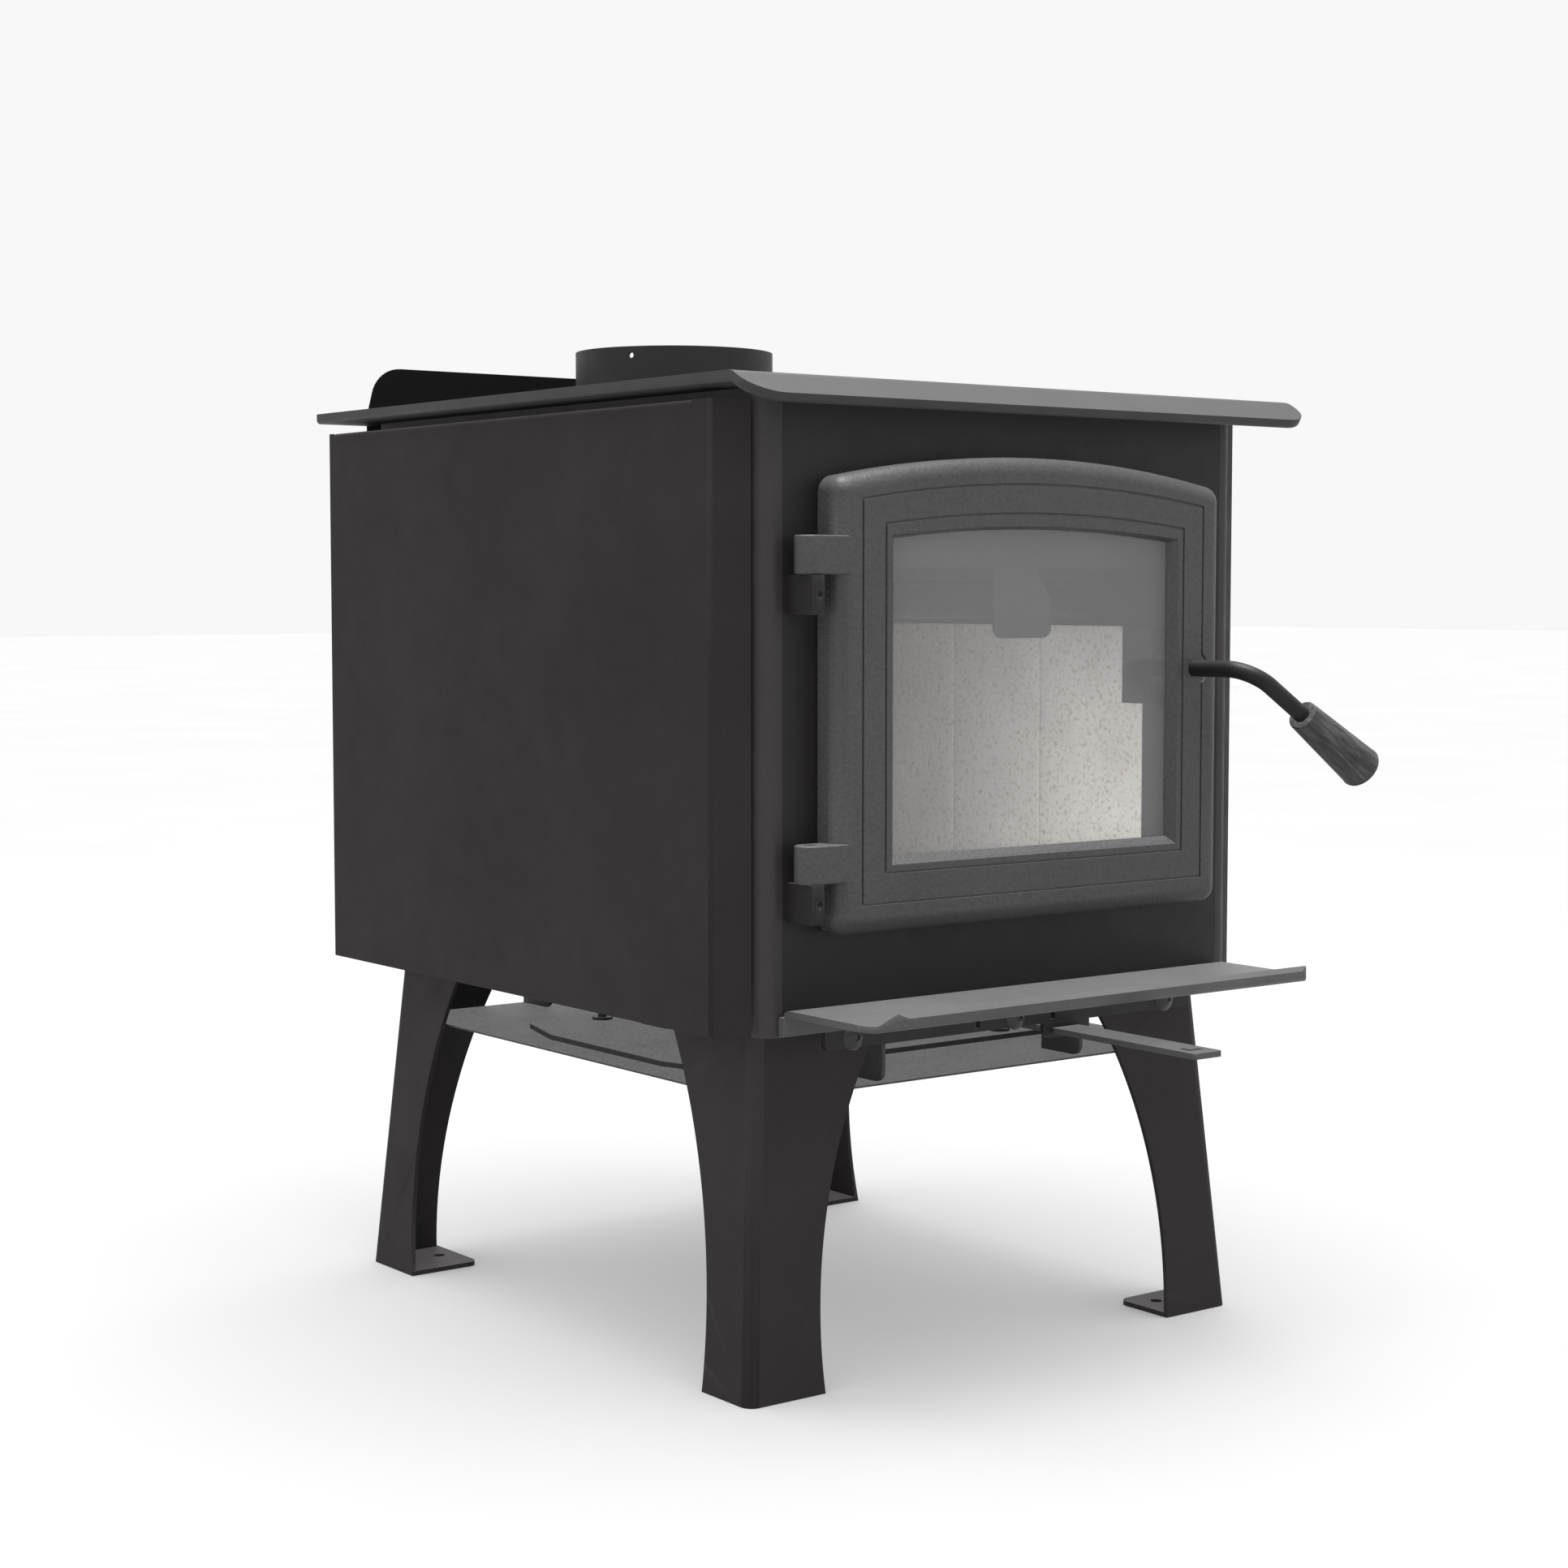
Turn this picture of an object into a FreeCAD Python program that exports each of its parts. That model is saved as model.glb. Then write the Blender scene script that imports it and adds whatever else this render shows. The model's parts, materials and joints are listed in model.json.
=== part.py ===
"""Free-standing wood burning stove: welded firebox on four folded legs, with a glazed cast door.

Frame: millimetres, +X to the right, +Y to the rear, +Z up.  The origin is the centre of the four
feet on the floor.  The stove faces -Y.
"""
import FreeCAD, Part
import math
import os

from FreeCAD import Vector

os.makedirs("parts", exist_ok=True)

# ---------------------------------------------------------------- driving dimensions: firebox
box_width = 428.6          # outside of the welded firebox
box_depth = 505.0
box_height = 422.5         # underside of the floor plate to underside of the top plate
box_shift = -8.5           # firebox centre ahead of the centre of the feet
leg_height = 245.0         # floor to underside of the firebox
plate = 5.0                # firebox steel
corner_radius = 10.0       # rounded front corners of the firebox
corner_return = 14.0       # how far the side walls wrap onto the front

# ---------------------------------------------------------------- driving dimensions: top and flue
top_thickness = 7.7
top_side_overhang = 38.7
top_front_overhang = 16.6
top_rear_overhang = 33.5
top_edge_round = 3.0       # lower edges along the two sides
top_lip_length = 31.0
top_lip_angle = 29.0       # below horizontal
top_lip_corner = 24.0
top_bend_radius = 16.0
collar_bore = 152.4        # takes a 6 inch flue pipe
collar_wall = 2.8
collar_height = 51.3       # above the top plate
collar_to_rear = 95.2      # collar axis to the outside of the rear wall
collar_screw_radius = 2.2
collar_screw_drop = 7.0

# ---------------------------------------------------------------- driving dimensions: casing
sheet = 1.5
panel_gap = 24.55          # convection space between firebox and side panel
panel_front_setback = 25.0
panel_top_gap = 7.3
panel_rear_overhang = 36.8
panel_nose = (24.0, 12.8)  # folded front edge: inwards, forwards
panel_hem = 10.0
panel_hem_start = 19.0
panel_hem_radius = 3.0
panel_bracket_height = 30.0
panel_bracket_foot = 14.0
rear_shield_gap = 33.8
rear_shield_rise = 39.0    # above the top plate
rear_shield_half_base = 208.0
rear_shield_half_crown = 198.0
rear_shield_corner = 26.0
bottom_shield_gap = 45.0   # below the firebox
bottom_shield_side_inset = 12.3
bottom_shield_front_inset = 26.5
bottom_shield_rear_inset = 10.0
bottom_shield_pad = (356.0, 258.0)
bottom_shield_pad_y = -16.0
bottom_shield_pad_height = 4.0
bottom_shield_pad_chamfer = (16.0, 56.0)
hanger_thickness = 3.0
hanger_spacing = 187.6
hanger_depth = 41.0
hanger_corner = 8.0
stud_spacing = (210.0, 228.0)
stud_radius = 3.5

# ---------------------------------------------------------------- driving dimensions: legs
leg_sheet = 3.5
leg_inset = (9.3, 16.5)    # outer corner at the top, in from the firebox width and depth
leg_lean = (19.0, 20.0)    # how far the outer corner moves out on its way to the floor
leg_bend_radius = 9.0
front_leg_face = (64.0, 59.0, 108.0)    # width at the floor, at mid height and at the top
front_leg_side = (53.5, 49.8, 97.0)
rear_leg_face = (58.0, 54.3, 101.0)
rear_leg_side = (66.0, 53.8, 92.0)
leg_waist = 80.0           # height of the middle widths
front_foot_depth = 51.0
rear_foot_depth = 60.0
foot_hole_radius = 4.5
foot_hole_inset = (44.5, 31.0)     # hole centre in from the leg's outer faces
leg_flange_width = 70.0
leg_bolt_radius = 4.0
leg_bolt_offset = (16.0, 48.0)

# ---------------------------------------------------------------- driving dimensions: ash lip, beam
lip_sheet = 4.5
lip_inset = 13.8           # inside the firebox sides
lip_flange_inset = 10.8
lip_flange_drop = 1.0      # lower edge above the firebox underside
lip_height = 18.5          # top face above the firebox underside
lip_reach = 94.0           # from the firebox front to the upturned edge
lip_bend_radius = 8.0
lip_rise = 8.5
lip_corner = 30.0
beam_half_width = 168.0
beam_drop = 11.5
beam_bolt_x = (-144.4, 0.0, 144.4)
beam_bolt_drop = 4.6
beam_bolt_head = 8.8
beam_bolt_shank = 4.0
beam_slot_x = 35.0
beam_lug = (30.0, 11.0)    # width, depth

# ---------------------------------------------------------------- driving dimensions: air control
lever_x = 48.5
lever_width = 26.0
lever_thickness = 4.0
lever_drop = 15.5          # top of the lever below the firebox underside
lever_reach = 143.0        # ahead of the firebox front when pulled out
lever_tail = 98.0          # behind the firebox front when pulled out
lever_travel = 50.0
slide_gap = 0.3            # clearance round sliding pieces
guide_wall = 8.7
guide_bottom = 2.4
damper_width = 60.0
damper_length = 62.0
damper_thickness = 1.7
damper_start = 31.0        # front edge behind the firebox front when pulled out
air_box_width = 80.0
air_box_depth = 138.0
air_box_sheet = 2.0
air_slot = (40.0, 35.0)
intake_hole = (40.0, 40.0)
rivet_radius = 3.0

# ---------------------------------------------------------------- driving dimensions: lining
floor_brick = 31.75
wall_brick = 25.4
brick_length = 228.6
brick_width = 114.3
brick_joint = 1.0
duct_depth = 56.0          # front risers and manifold, front to back
duct_wall = 2.5
riser_top_gap = 107.5      # below the top plate
channel_height = 34.0
channel_gap = 1.6
tube_radius = 12.7
tube_wall = 1.6
tube_count = 4
tube_hole_radius = 2.0
tube_hole_count = 13
baffle_thickness = 25.0
baffle_setback = 50.0      # baffle front edge behind the front ducts
baffle_split = 1.0
blanket_thickness = 12.0
rear_duct = (90.0, 20.0)
deflector_gap = 12.0       # air wash sheet behind the front plate
deflector_side_gap = 1.0   # inside the firebox mouth
deflector_top_gap = 27.5
deflector_low = 20.5       # lower edge below the glass top corners
deflector_tab = (54.0, 49.0)
deflector_tab_side = 23.4      # middle of the tab to the right of the door's middle
deflector_tab_slope = (15.5, 22.6)     # cut off its upper right corner: across, down
deflector_tab_round = 8.0

# ---------------------------------------------------------------- driving dimensions: door
door_half = 175.4
door_sill = 66.6           # door bottom above the firebox underside
door_side_height = 297.9
door_arch = 17.5
door_gap = 5.3             # between the door and the firebox front
door_thickness = 22.7
door_round = 11.3
door_corner = 11.8
door_web = 12.0            # thickness round the glass
groove_width = 1.6
groove_depth = 1.5
outer_groove = (19.1, 19.2, 12.5, 12.5)   # side, bottom and top insets, arch rise
inner_groove = (38.4, 39.2, 28.3, 8.6)
glass_sight = (44.4, 44.9, 36.5, 7.3)
glass_bevel = (5.5, 5.5, 2.0)     # sides, sill and top
glass_bevel_depth = 6.0
glass_lap = 10.0           # glass beyond the visible opening
glass_thickness = 5.0
glass_rope = 1.0
door_rope = (3.4, 11.4)    # insets of the door gasket's two sides
door_rope_depth = 5.0
door_rope_seal_gap = 0.3   # between the gasket and the firebox front
opening_inset = 12.4       # firebox mouth, in from the door's outline
recess_inset = 18.4        # hollow in the door's rear, in from its outline
clip_size = (26.0, 22.0, 2.0)
clip_screw_radius = 2.0

# ---------------------------------------------------------------- driving dimensions: hinges
hinge_offset = 16.3        # pin axis beyond the door's side
hinge_setback = 10.0       # pin axis behind the door's front face
knuckle_radius = 10.0
knuckle_height = 25.3
knuckle_edge = 1.2
knuckle_z = (35.4, 235.5)  # undersides above the door's bottom
hinge_gap = 0.3
bracket_height = 25.7
bracket_thickness = 10.0
bracket_nose = 10.5
pin_radius = 4.0
pin_clearance = 0.05
set_screw_radius = 2.5

# ---------------------------------------------------------------- driving dimensions: latch, handle
handle_inset = 27.4        # spindle in from the door's side
handle_height = 169.8      # spindle above the door's bottom
rod_radius = 6.0
rod_straight = 56.0        # door face to the corner of the bend
rod_bend_radius = 22.0
rod_drop_angle = 32.5      # grip below the horizontal when it is not latched
spindle_ring_radius = 13.1     # the outer groove goes round the spindle
grip_start = 61.2          # from the corner of the bend
grip_length = 76.0
grip_radius_small = 11.2
grip_radius_large = 15.7
grip_end_round = 2.5
grip_bore_end = 12.0
finger_length = 23.0
finger_width = 12.0
finger_thickness = 6.0
finger_hub = 8.6
sleeve_radius = 8.0
latch_gap = 0.6            # between the latch finger and the rear of the firebox front
latch_box_side = 12.0      # outside of the box beside the spindle axis
latch_box_low = 26.4       # below the spindle axis
latch_box_high = 29.6      # above the spindle axis
latch_box_depth = 28.5
latch_box_wall = 2.0
nut_length = 6.0

# ---------------------------------------------------------------- worked-out planes
half_x = box_width / 2
front_y = box_shift - box_depth / 2
rear_y = box_shift + box_depth / 2
floor_z = leg_height
roof_z = leg_height + box_height
top_z = roof_z + top_thickness
inner_x = half_x - plate
inner_front = front_y + plate
inner_rear = rear_y - plate
inner_floor = floor_z + plate
duct_rear = inner_front + duct_depth
brick_x = inner_x - wall_brick
brick_rear = inner_rear - wall_brick
brick_base = inner_floor + floor_brick
brick_top = brick_base + brick_length
channel_z = brick_top + channel_gap
baffle_z = channel_z + channel_height
panel_x = half_x + panel_gap + sheet
panel_front = front_y + panel_front_setback
panel_rear = rear_y + panel_rear_overhang
panel_top = roof_z - panel_top_gap
collar_y = rear_y - collar_to_rear
collar_radius = collar_bore / 2 + collar_wall
door_back = front_y - door_gap
door_front = door_back - door_thickness
door_bottom = floor_z + door_sill
door_shoulder = door_bottom + door_side_height
door_inner_back = door_front + door_web
hinge_x = -door_half - hinge_offset
handle_x = door_half - handle_inset
glass_front = door_front + glass_bevel_depth + glass_rope
glass_back = glass_front + glass_thickness
pin_y = door_front + hinge_setback
shield_z = floor_z - bottom_shield_gap
lever_top = floor_z - lever_drop
lever_bottom = lever_top - lever_thickness
lever_front = front_y - lever_reach
lever_rear = front_y + lever_tail
damper_top = lever_top + damper_thickness
air_box_floor = damper_top + slide_gap
axle_z = door_bottom + handle_height
finger_front = inner_front + latch_gap
finger_back = finger_front + finger_thickness
lip_half_width = half_x - lip_inset
lip_flange_half_width = half_x - lip_flange_inset
foot_x = half_x - leg_inset[0] + leg_lean[0]
foot_y = box_depth / 2 - leg_inset[1] + leg_lean[1]


# ---------------------------------------------------------------- helpers
def box(x0, x1, y0, y1, z0, z1):
    """Block between two corners."""
    return Part.makeBox(x1 - x0, y1 - y0, z1 - z0, Vector(x0, y0, z0))


def rod(start, end, radius):
    """Round bar between two points."""
    axis = end - start
    return Part.makeCylinder(radius, axis.Length, start, axis)


def hex_bar(centre, across_flats, length, axis):
    """Hexagonal prism that starts at centre and runs along axis."""
    side = across_flats / math.sqrt(3)
    across = Vector(0, 0, 1) if abs(axis.z) < 0.5 else Vector(1, 0, 0)
    points = []
    for corner in range(7):
        turn = FreeCAD.Rotation(axis, 60.0 * corner)
        points.append(centre + turn.multVec(across * side))
    face = Part.Face(Part.makePolygon(points))
    return face.extrude(axis * length)


def on_xy(a, b):
    return Vector(a, b, 0)


def on_xz(a, b):
    return Vector(a, 0, b)


def on_yz(a, b):
    return Vector(0, a, b)


def polygon_prism(points, place, start, length):
    """Straight-sided outline, placed on a plane, moved by start and extruded by length."""
    corners = [place(a, b) + start for a, b in points]
    return Part.Face(Part.makePolygon(corners + corners[:1])).extrude(length)


def rounded_prism(points, radius, place, start, length):
    """Convex outline with every corner rounded to one radius."""
    edges = []
    ends = []
    count = len(points)
    for index in range(count):
        here = place(*points[index])
        before = (place(*points[index - 1]) - here).normalize()
        after = (place(*points[(index + 1) % count]) - here).normalize()
        half = before.getAngle(after) / 2
        reach = radius / math.tan(half)
        bisector = (before + after).normalize()
        middle = here + bisector * (radius / math.sin(half) - radius)
        ends.append((here + before * reach, middle, here + after * reach))
    for index in range(count):
        first, middle, last = ends[index]
        edges.append(Part.Arc(first, middle, last).toShape())
        edges.append(Part.makeLine(last, ends[(index + 1) % count][0]))
    wire = Part.Wire(Part.__sortEdges__(edges))
    wire.translate(start)
    return Part.Face(wire).extrude(length)


def folded_sheet(points, thickness, radius, place, start, length):
    """Sheet folded along a line of points; the material lies on the line's left side."""
    line = [Vector(a, b, 0) for a, b in points]
    ways = [(line[i + 1] - line[i]).normalize() for i in range(len(line) - 1)]
    lefts = [Vector(-way.y, way.x, 0) for way in ways]
    near = []
    far = []
    for index in range(1, len(line) - 1):
        turn = ways[index - 1].getAngle(ways[index])
        left_turn = ways[index - 1].cross(ways[index]).z > 0
        reach = radius * math.tan(turn / 2)
        side = 1 if left_turn else -1
        first = line[index] - ways[index - 1] * reach
        last = line[index] + ways[index] * reach
        centre = first + lefts[index - 1] * (side * radius)
        middle = (line[index] - centre).normalize()
        far_radius = radius - side * thickness
        near.append((first, centre + middle * radius, last))
        far.append((first + lefts[index - 1] * thickness, centre + middle * far_radius,
                    last + lefts[index] * thickness))
    outline = []
    for ends, side_arcs in ((0.0, near), (thickness, far)):
        edges = []
        here = line[0] + lefts[0] * ends
        for first, middle, last in side_arcs:
            edges.append((here, first))
            edges.append((first, middle, last))
            here = last
        edges.append((here, line[-1] + lefts[-1] * ends))
        outline.append(edges)
    shape_edges = []
    for edges in outline:
        for item in edges:
            spots = [place(p.x, p.y) for p in item]
            if len(spots) == 2:
                shape_edges.append(Part.makeLine(*spots))
            else:
                shape_edges.append(Part.Arc(*spots).toShape())
    for near_end, far_end in ((outline[0][0][0], outline[1][0][0]),
                              (outline[0][-1][-1], outline[1][-1][-1])):
        shape_edges.append(Part.makeLine(place(near_end.x, near_end.y), place(far_end.x, far_end.y)))
    wire = Part.Wire(Part.__sortEdges__(shape_edges))
    wire.translate(start)
    return Part.Face(wire).extrude(length)


def mirror_x(shape):
    return shape.mirror(Vector(0, 0, 0), Vector(1, 0, 0))


def mirror_y(shape):
    return shape.mirror(Vector(0, 0, 0), Vector(0, 1, 0))


def hollow_box(x0, x1, y0, y1, z0, z1, wall):
    """Closed rectangular tube with walls all round."""
    inside = box(x0 + wall, x1 - wall, y0 + wall, y1 - wall, z0 + wall, z1 - wall)
    return box(x0, x1, y0, y1, z0, z1).cut(inside)


def arch_prism(half, low, shoulder, rise, y0, y1):
    """Door-shaped prism along Y: straight sides and sill, one arc over the top."""
    sill_left = Vector(-half, y0, low)
    sill_right = Vector(half, y0, low)
    left = Vector(-half, y0, shoulder)
    right = Vector(half, y0, shoulder)
    crown = Vector(0, y0, shoulder + rise)
    edges = [
        Part.makeLine(sill_left, sill_right),
        Part.makeLine(sill_right, right),
        Part.Arc(right, crown, left).toShape(),
        Part.makeLine(left, sill_left),
    ]
    return Part.Face(Part.Wire(edges)).extrude(Vector(0, y1 - y0, 0))


def door_shape(inset, y0, y1, extra=0.0):
    """Door outline set in by (side, bottom, top, arch rise), and by extra all round."""
    side, bottom, top, rise = inset
    return arch_prism(door_half - side - extra, door_bottom + bottom + extra,
                      door_shoulder - top - extra, rise, y0, y1)


def even_inset(distance):
    """Inset values for an outline parallel to the door's own edge."""
    radius = (door_half ** 2 + door_arch ** 2) / (2 * door_arch)
    centre = door_shoulder + door_arch - radius
    half = door_half - distance
    shoulder = centre + math.sqrt((radius - distance) ** 2 - half ** 2)
    rise = centre + radius - distance - shoulder
    return (distance, distance, door_shoulder - shoulder, rise)


def fuse(shapes):
    result = shapes[0]
    for shape in shapes[1:]:
        result = result.fuse(shape)
    return result.removeSplitter()


# ---------------------------------------------------------------- firebox
def side_wall():
    """Left wall: plain sheet steel that wraps round the rounded front corner."""
    path = [(-half_x, inner_rear + plate), (-half_x, front_y), (-half_x + corner_return, front_y)]
    return folded_sheet(path, plate, corner_radius, on_xy, Vector(0, 0, floor_z),
                        Vector(0, 0, box_height))


def front_plate():
    plain = box(-half_x + corner_return, half_x - corner_return, front_y, inner_front, floor_z, roof_z)
    mouth = door_shape(even_inset(opening_inset), front_y - 1, inner_front + 1)
    return plain.cut(mouth)


def rear_wall():
    wall = box(-inner_x, inner_x, inner_rear, rear_y, floor_z, roof_z)
    port_half = rear_duct[0] / 2 - 15
    port = box(-port_half, port_half, inner_rear - 1, rear_y + 1, channel_z + 6, baffle_z - 6)
    return wall.cut(port)


def front_corner_edges(shape):
    """Upright edges that sit in the rounded front corners of the firebox."""
    return [edge for edge in shape.Edges
            if abs(abs(edge.CenterOfMass.x) - inner_x) < 0.01
            and abs(edge.CenterOfMass.y - inner_front) < 0.01]


def bottom_plate():
    base = box(-inner_x, inner_x, inner_front, inner_rear, floor_z, inner_floor)
    base = base.makeFillet(corner_radius - plate, front_corner_edges(base))
    half = intake_hole[0] / 2
    hole = box(lever_x - half, lever_x + half, inner_front + 11, inner_front + 11 + intake_hole[1],
               floor_z - 1, inner_floor + 1)
    base = base.cut(hole)
    for spot in leg_bolt_spots():
        base = base.cut(rod(spot + Vector(0, 0, -1), spot + Vector(0, 0, plate + 1), leg_bolt_radius))
    return base


def top_plate():
    """Flat plate whose front edge is folded down into a lip with rounded ends."""
    half = half_x + top_side_overhang
    bend_y = front_y - top_front_overhang
    slope = math.radians(top_lip_angle)
    tip = (bend_y - top_lip_length * math.cos(slope), top_z - top_lip_length * math.sin(slope))
    path = [(rear_y + top_rear_overhang, top_z), (bend_y, top_z), tip]
    top = folded_sheet(path, top_thickness, top_bend_radius, on_yz, Vector(-half, 0, 0),
                       Vector(2 * half, 0, 0))
    corners = [edge for edge in top.Edges
               if abs(edge.CenterOfMass.y - tip[0]) < 6 and abs(abs(edge.CenterOfMass.x) - half) < 0.1]
    corners = [edge for edge in corners
               if abs(edge.Length - top_thickness) < 0.1]
    top = top.makeFillet(top_lip_corner, corners)
    rounds = [edge for edge in top.Edges if is_low_rim(edge, half)]
    top = top.makeFillet(top_edge_round, rounds)
    hole = rod(Vector(0, collar_y, roof_z - 1), Vector(0, collar_y, top_z + 1), collar_radius)
    return top.cut(hole)


def is_low_rim(edge, half):
    """True for the lower edges along the two sides of the flat part of the top."""
    on_side = abs(abs(edge.CenterOfMass.x) - half) < 0.1
    return on_side and abs(edge.BoundBox.ZMin - roof_z) < 0.1 and abs(edge.BoundBox.ZMax - roof_z) < 0.1


def flue_collar():
    low = Vector(0, collar_y, roof_z)
    high = Vector(0, collar_y, top_z + collar_height)
    collar = rod(low, high, collar_radius).cut(rod(low, high, collar_bore / 2))
    screw_z = top_z + collar_height - collar_screw_drop
    for angle in (210.0, 330.0, 90.0):
        turn = math.radians(angle)
        way = Vector(math.cos(turn), math.sin(turn), 0)
        axis = Vector(0, collar_y, screw_z)
        collar = collar.cut(rod(axis + way * (collar_bore / 2 - 5), axis + way * (collar_radius + 5),
                                collar_screw_radius))
    return collar


# ---------------------------------------------------------------- casing
def side_panel():
    """Left convection panel: folded nose at the front, turned-in hem along the top."""
    path = [(-panel_x, panel_rear), (-panel_x, panel_front),
            (-panel_x + panel_nose[0], panel_front - panel_nose[1])]
    panel = folded_sheet(path, sheet, 4.0, on_xy, Vector(0, 0, floor_z + 0.6),
                         Vector(0, 0, panel_top - floor_z - 0.6))
    hem_front = panel_front + panel_hem_start
    hem_rear = panel_rear - 5
    notch = box(-panel_x - 1, -panel_x + sheet + 1, hem_front, hem_rear, panel_top - panel_hem, panel_top + 1)
    hem_path = [(-panel_x + panel_hem, panel_top), (-panel_x, panel_top),
                (-panel_x, panel_top - panel_hem)]
    hem = folded_sheet(hem_path, sheet, panel_hem_radius, on_xz, Vector(0, hem_front, 0),
                       Vector(0, hem_rear - hem_front, 0))
    return fuse([panel.cut(notch), hem])


def panel_brackets():
    """Z-shaped spacers that carry both side panels off the firebox."""
    solids = []
    inner = -half_x
    outer = -(half_x + panel_gap - sheet)
    rows = (floor_z + 50, roof_z - 90)
    for low in rows:
        for y in (front_y + 60, rear_y - 30):
            path = [(inner, y - panel_bracket_foot), (inner, y), (outer, y),
                    (outer, y + panel_bracket_foot)]
            bracket = folded_sheet(path, sheet, 2.5, on_xy, Vector(0, 0, low),
                                   Vector(0, 0, panel_bracket_height))
            solids += [bracket, mirror_x(bracket)]
    return Part.makeCompound(solids)


def rear_shield_spots():
    spots = []
    for x in (-half_x + 44, half_x - 44):
        for z in (floor_z + 55, roof_z - 50):
            spots.append(Vector(x, rear_y, z))
    return spots


def rear_heat_shield():
    """Sheet behind the firebox that rises above the top with tapered, rounded shoulders."""
    y0 = rear_y + rear_shield_gap
    half = half_x + panel_gap - 0.5
    step_z = panel_top - 1
    low = [(-half, floor_z + 1), (half, floor_z + 1), (half, step_z), (-half, step_z)]
    lower = polygon_prism(low, on_xz, Vector(0, y0, 0), Vector(0, sheet, 0))
    high = [(-rear_shield_half_base, step_z - 60), (rear_shield_half_base, step_z - 60),
            (rear_shield_half_base, top_z), (rear_shield_half_crown, top_z + rear_shield_rise),
            (-rear_shield_half_crown, top_z + rear_shield_rise), (-rear_shield_half_base, top_z)]
    upper = rounded_prism(high, rear_shield_corner, on_xz, Vector(0, y0, 0), Vector(0, sheet, 0))
    shield = fuse([lower, upper])
    for spot in rear_shield_spots():
        shield = shield.cut(rod(spot, spot + Vector(0, 60, 0), 3.0))
    return shield


def rear_shield_spacers():
    """Round stand-offs with a screw head outside the rear shield."""
    solids = []
    for spot in rear_shield_spots():
        inner = spot + Vector(0, rear_shield_gap, 0)
        outer = inner + Vector(0, sheet, 0)
        spacer = rod(spot, inner, 6.0)
        shank = rod(inner - Vector(0, 1, 0), outer + Vector(0, 1, 0), 3.0)
        head = rod(outer, outer + Vector(0, 3, 0), 6.0)
        solids.append(fuse([spacer, shank, head]))
    return Part.makeCompound(solids)


def pad_outline(inset):
    half_pad_x = bottom_shield_pad[0] / 2 - inset
    half_pad_y = bottom_shield_pad[1] / 2 - inset
    front = bottom_shield_pad_y - half_pad_y
    rear = bottom_shield_pad_y + half_pad_y
    cut_x, cut_y = bottom_shield_pad_chamfer
    return [(-half_pad_x, front + cut_y), (-half_pad_x + cut_x, front),
            (half_pad_x - cut_x, front), (half_pad_x, front + cut_y),
            (half_pad_x, rear - cut_y), (half_pad_x - cut_x, rear),
            (-half_pad_x + cut_x, rear), (-half_pad_x, rear - cut_y)]


def bottom_heat_shield():
    """Sheet under the firebox with a raised middle."""
    half = half_x - bottom_shield_side_inset
    y0 = front_y + bottom_shield_front_inset
    y1 = rear_y - bottom_shield_rear_inset
    base = box(-half, half, y0, y1, shield_z - sheet, shield_z)
    pad_top = shield_z + bottom_shield_pad_height
    raised = polygon_prism(pad_outline(0), on_xy, Vector(0, 0, shield_z - sheet),
                           Vector(0, 0, pad_top - shield_z + sheet))
    below = polygon_prism(pad_outline(sheet), on_xy, Vector(0, 0, shield_z - sheet - 1),
                          Vector(0, 0, pad_top - shield_z + 1))
    shield = fuse([base, raised]).cut(below)
    for spot in stud_spots():
        shield = shield.cut(rod(spot, spot + Vector(0, 0, -60), stud_radius))
    return shield


def hanger_rows():
    """Front and rear limits of the three pairs of hangers, and the height each one stands on."""
    front = front_y + bottom_shield_front_inset + 1
    rear = rear_y - bottom_shield_rear_inset - 1
    pad_top = shield_z + bottom_shield_pad_height
    return [(front, front + hanger_depth, shield_z), (20.0, 20.0 + hanger_depth, pad_top),
            (rear - hanger_depth, rear, shield_z)]


def shield_hangers():
    """Upright tabs between the firebox and the bottom shield, rounded at the lower front."""
    solids = []
    for y0, y1, low in hanger_rows():
        x = -hanger_spacing / 2
        tab = box(x, x + hanger_thickness, y0, y1, low, floor_z)
        corner = [edge for edge in tab.Edges
                  if abs(edge.CenterOfMass.y - y0) < 0.01 and abs(edge.CenterOfMass.z - low) < 0.01]
        tab = tab.makeFillet(hanger_corner, corner)
        solids += [tab, mirror_x(tab)]
    return Part.makeCompound(solids)


def stud_spots():
    spots = []
    for x in (-stud_spacing[0] / 2, stud_spacing[0] / 2):
        for y in (-stud_spacing[1] / 2, stud_spacing[1] / 2):
            spots.append(Vector(x, bottom_shield_pad_y + y, floor_z))
    return spots


def shield_studs():
    """Studs welded under the firebox, each with a nut below the bottom shield's raised middle."""
    solids = []
    sheet_low = shield_z + bottom_shield_pad_height - sheet
    for spot in stud_spots():
        low = Vector(spot.x, spot.y, sheet_low - 7)
        nut = hex_bar(Vector(spot.x, spot.y, sheet_low - 5), 11.0, 5.0, Vector(0, 0, 1))
        washer = rod(Vector(spot.x, spot.y, sheet_low + sheet), Vector(spot.x, spot.y, sheet_low + sheet + 2), 8.0)
        solids.append(fuse([rod(low, spot, stud_radius), nut, washer]))
    return Part.makeCompound(solids)


# ---------------------------------------------------------------- legs
def leg_bolt_spots():
    """Two bolts through each leg's top flange, at the underside of the firebox."""
    spots = []
    near, far = leg_bolt_offset
    corner_x = half_x - leg_inset[0]
    corner_y = box_depth / 2 - leg_inset[1]
    for dx, dy in ((near, far), (far, near)):
        for side in (-1, 1):
            for end in (-1, 1):
                spots.append(Vector(side * (corner_x - dx), end * (corner_y - dy), floor_z))
    return spots


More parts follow.
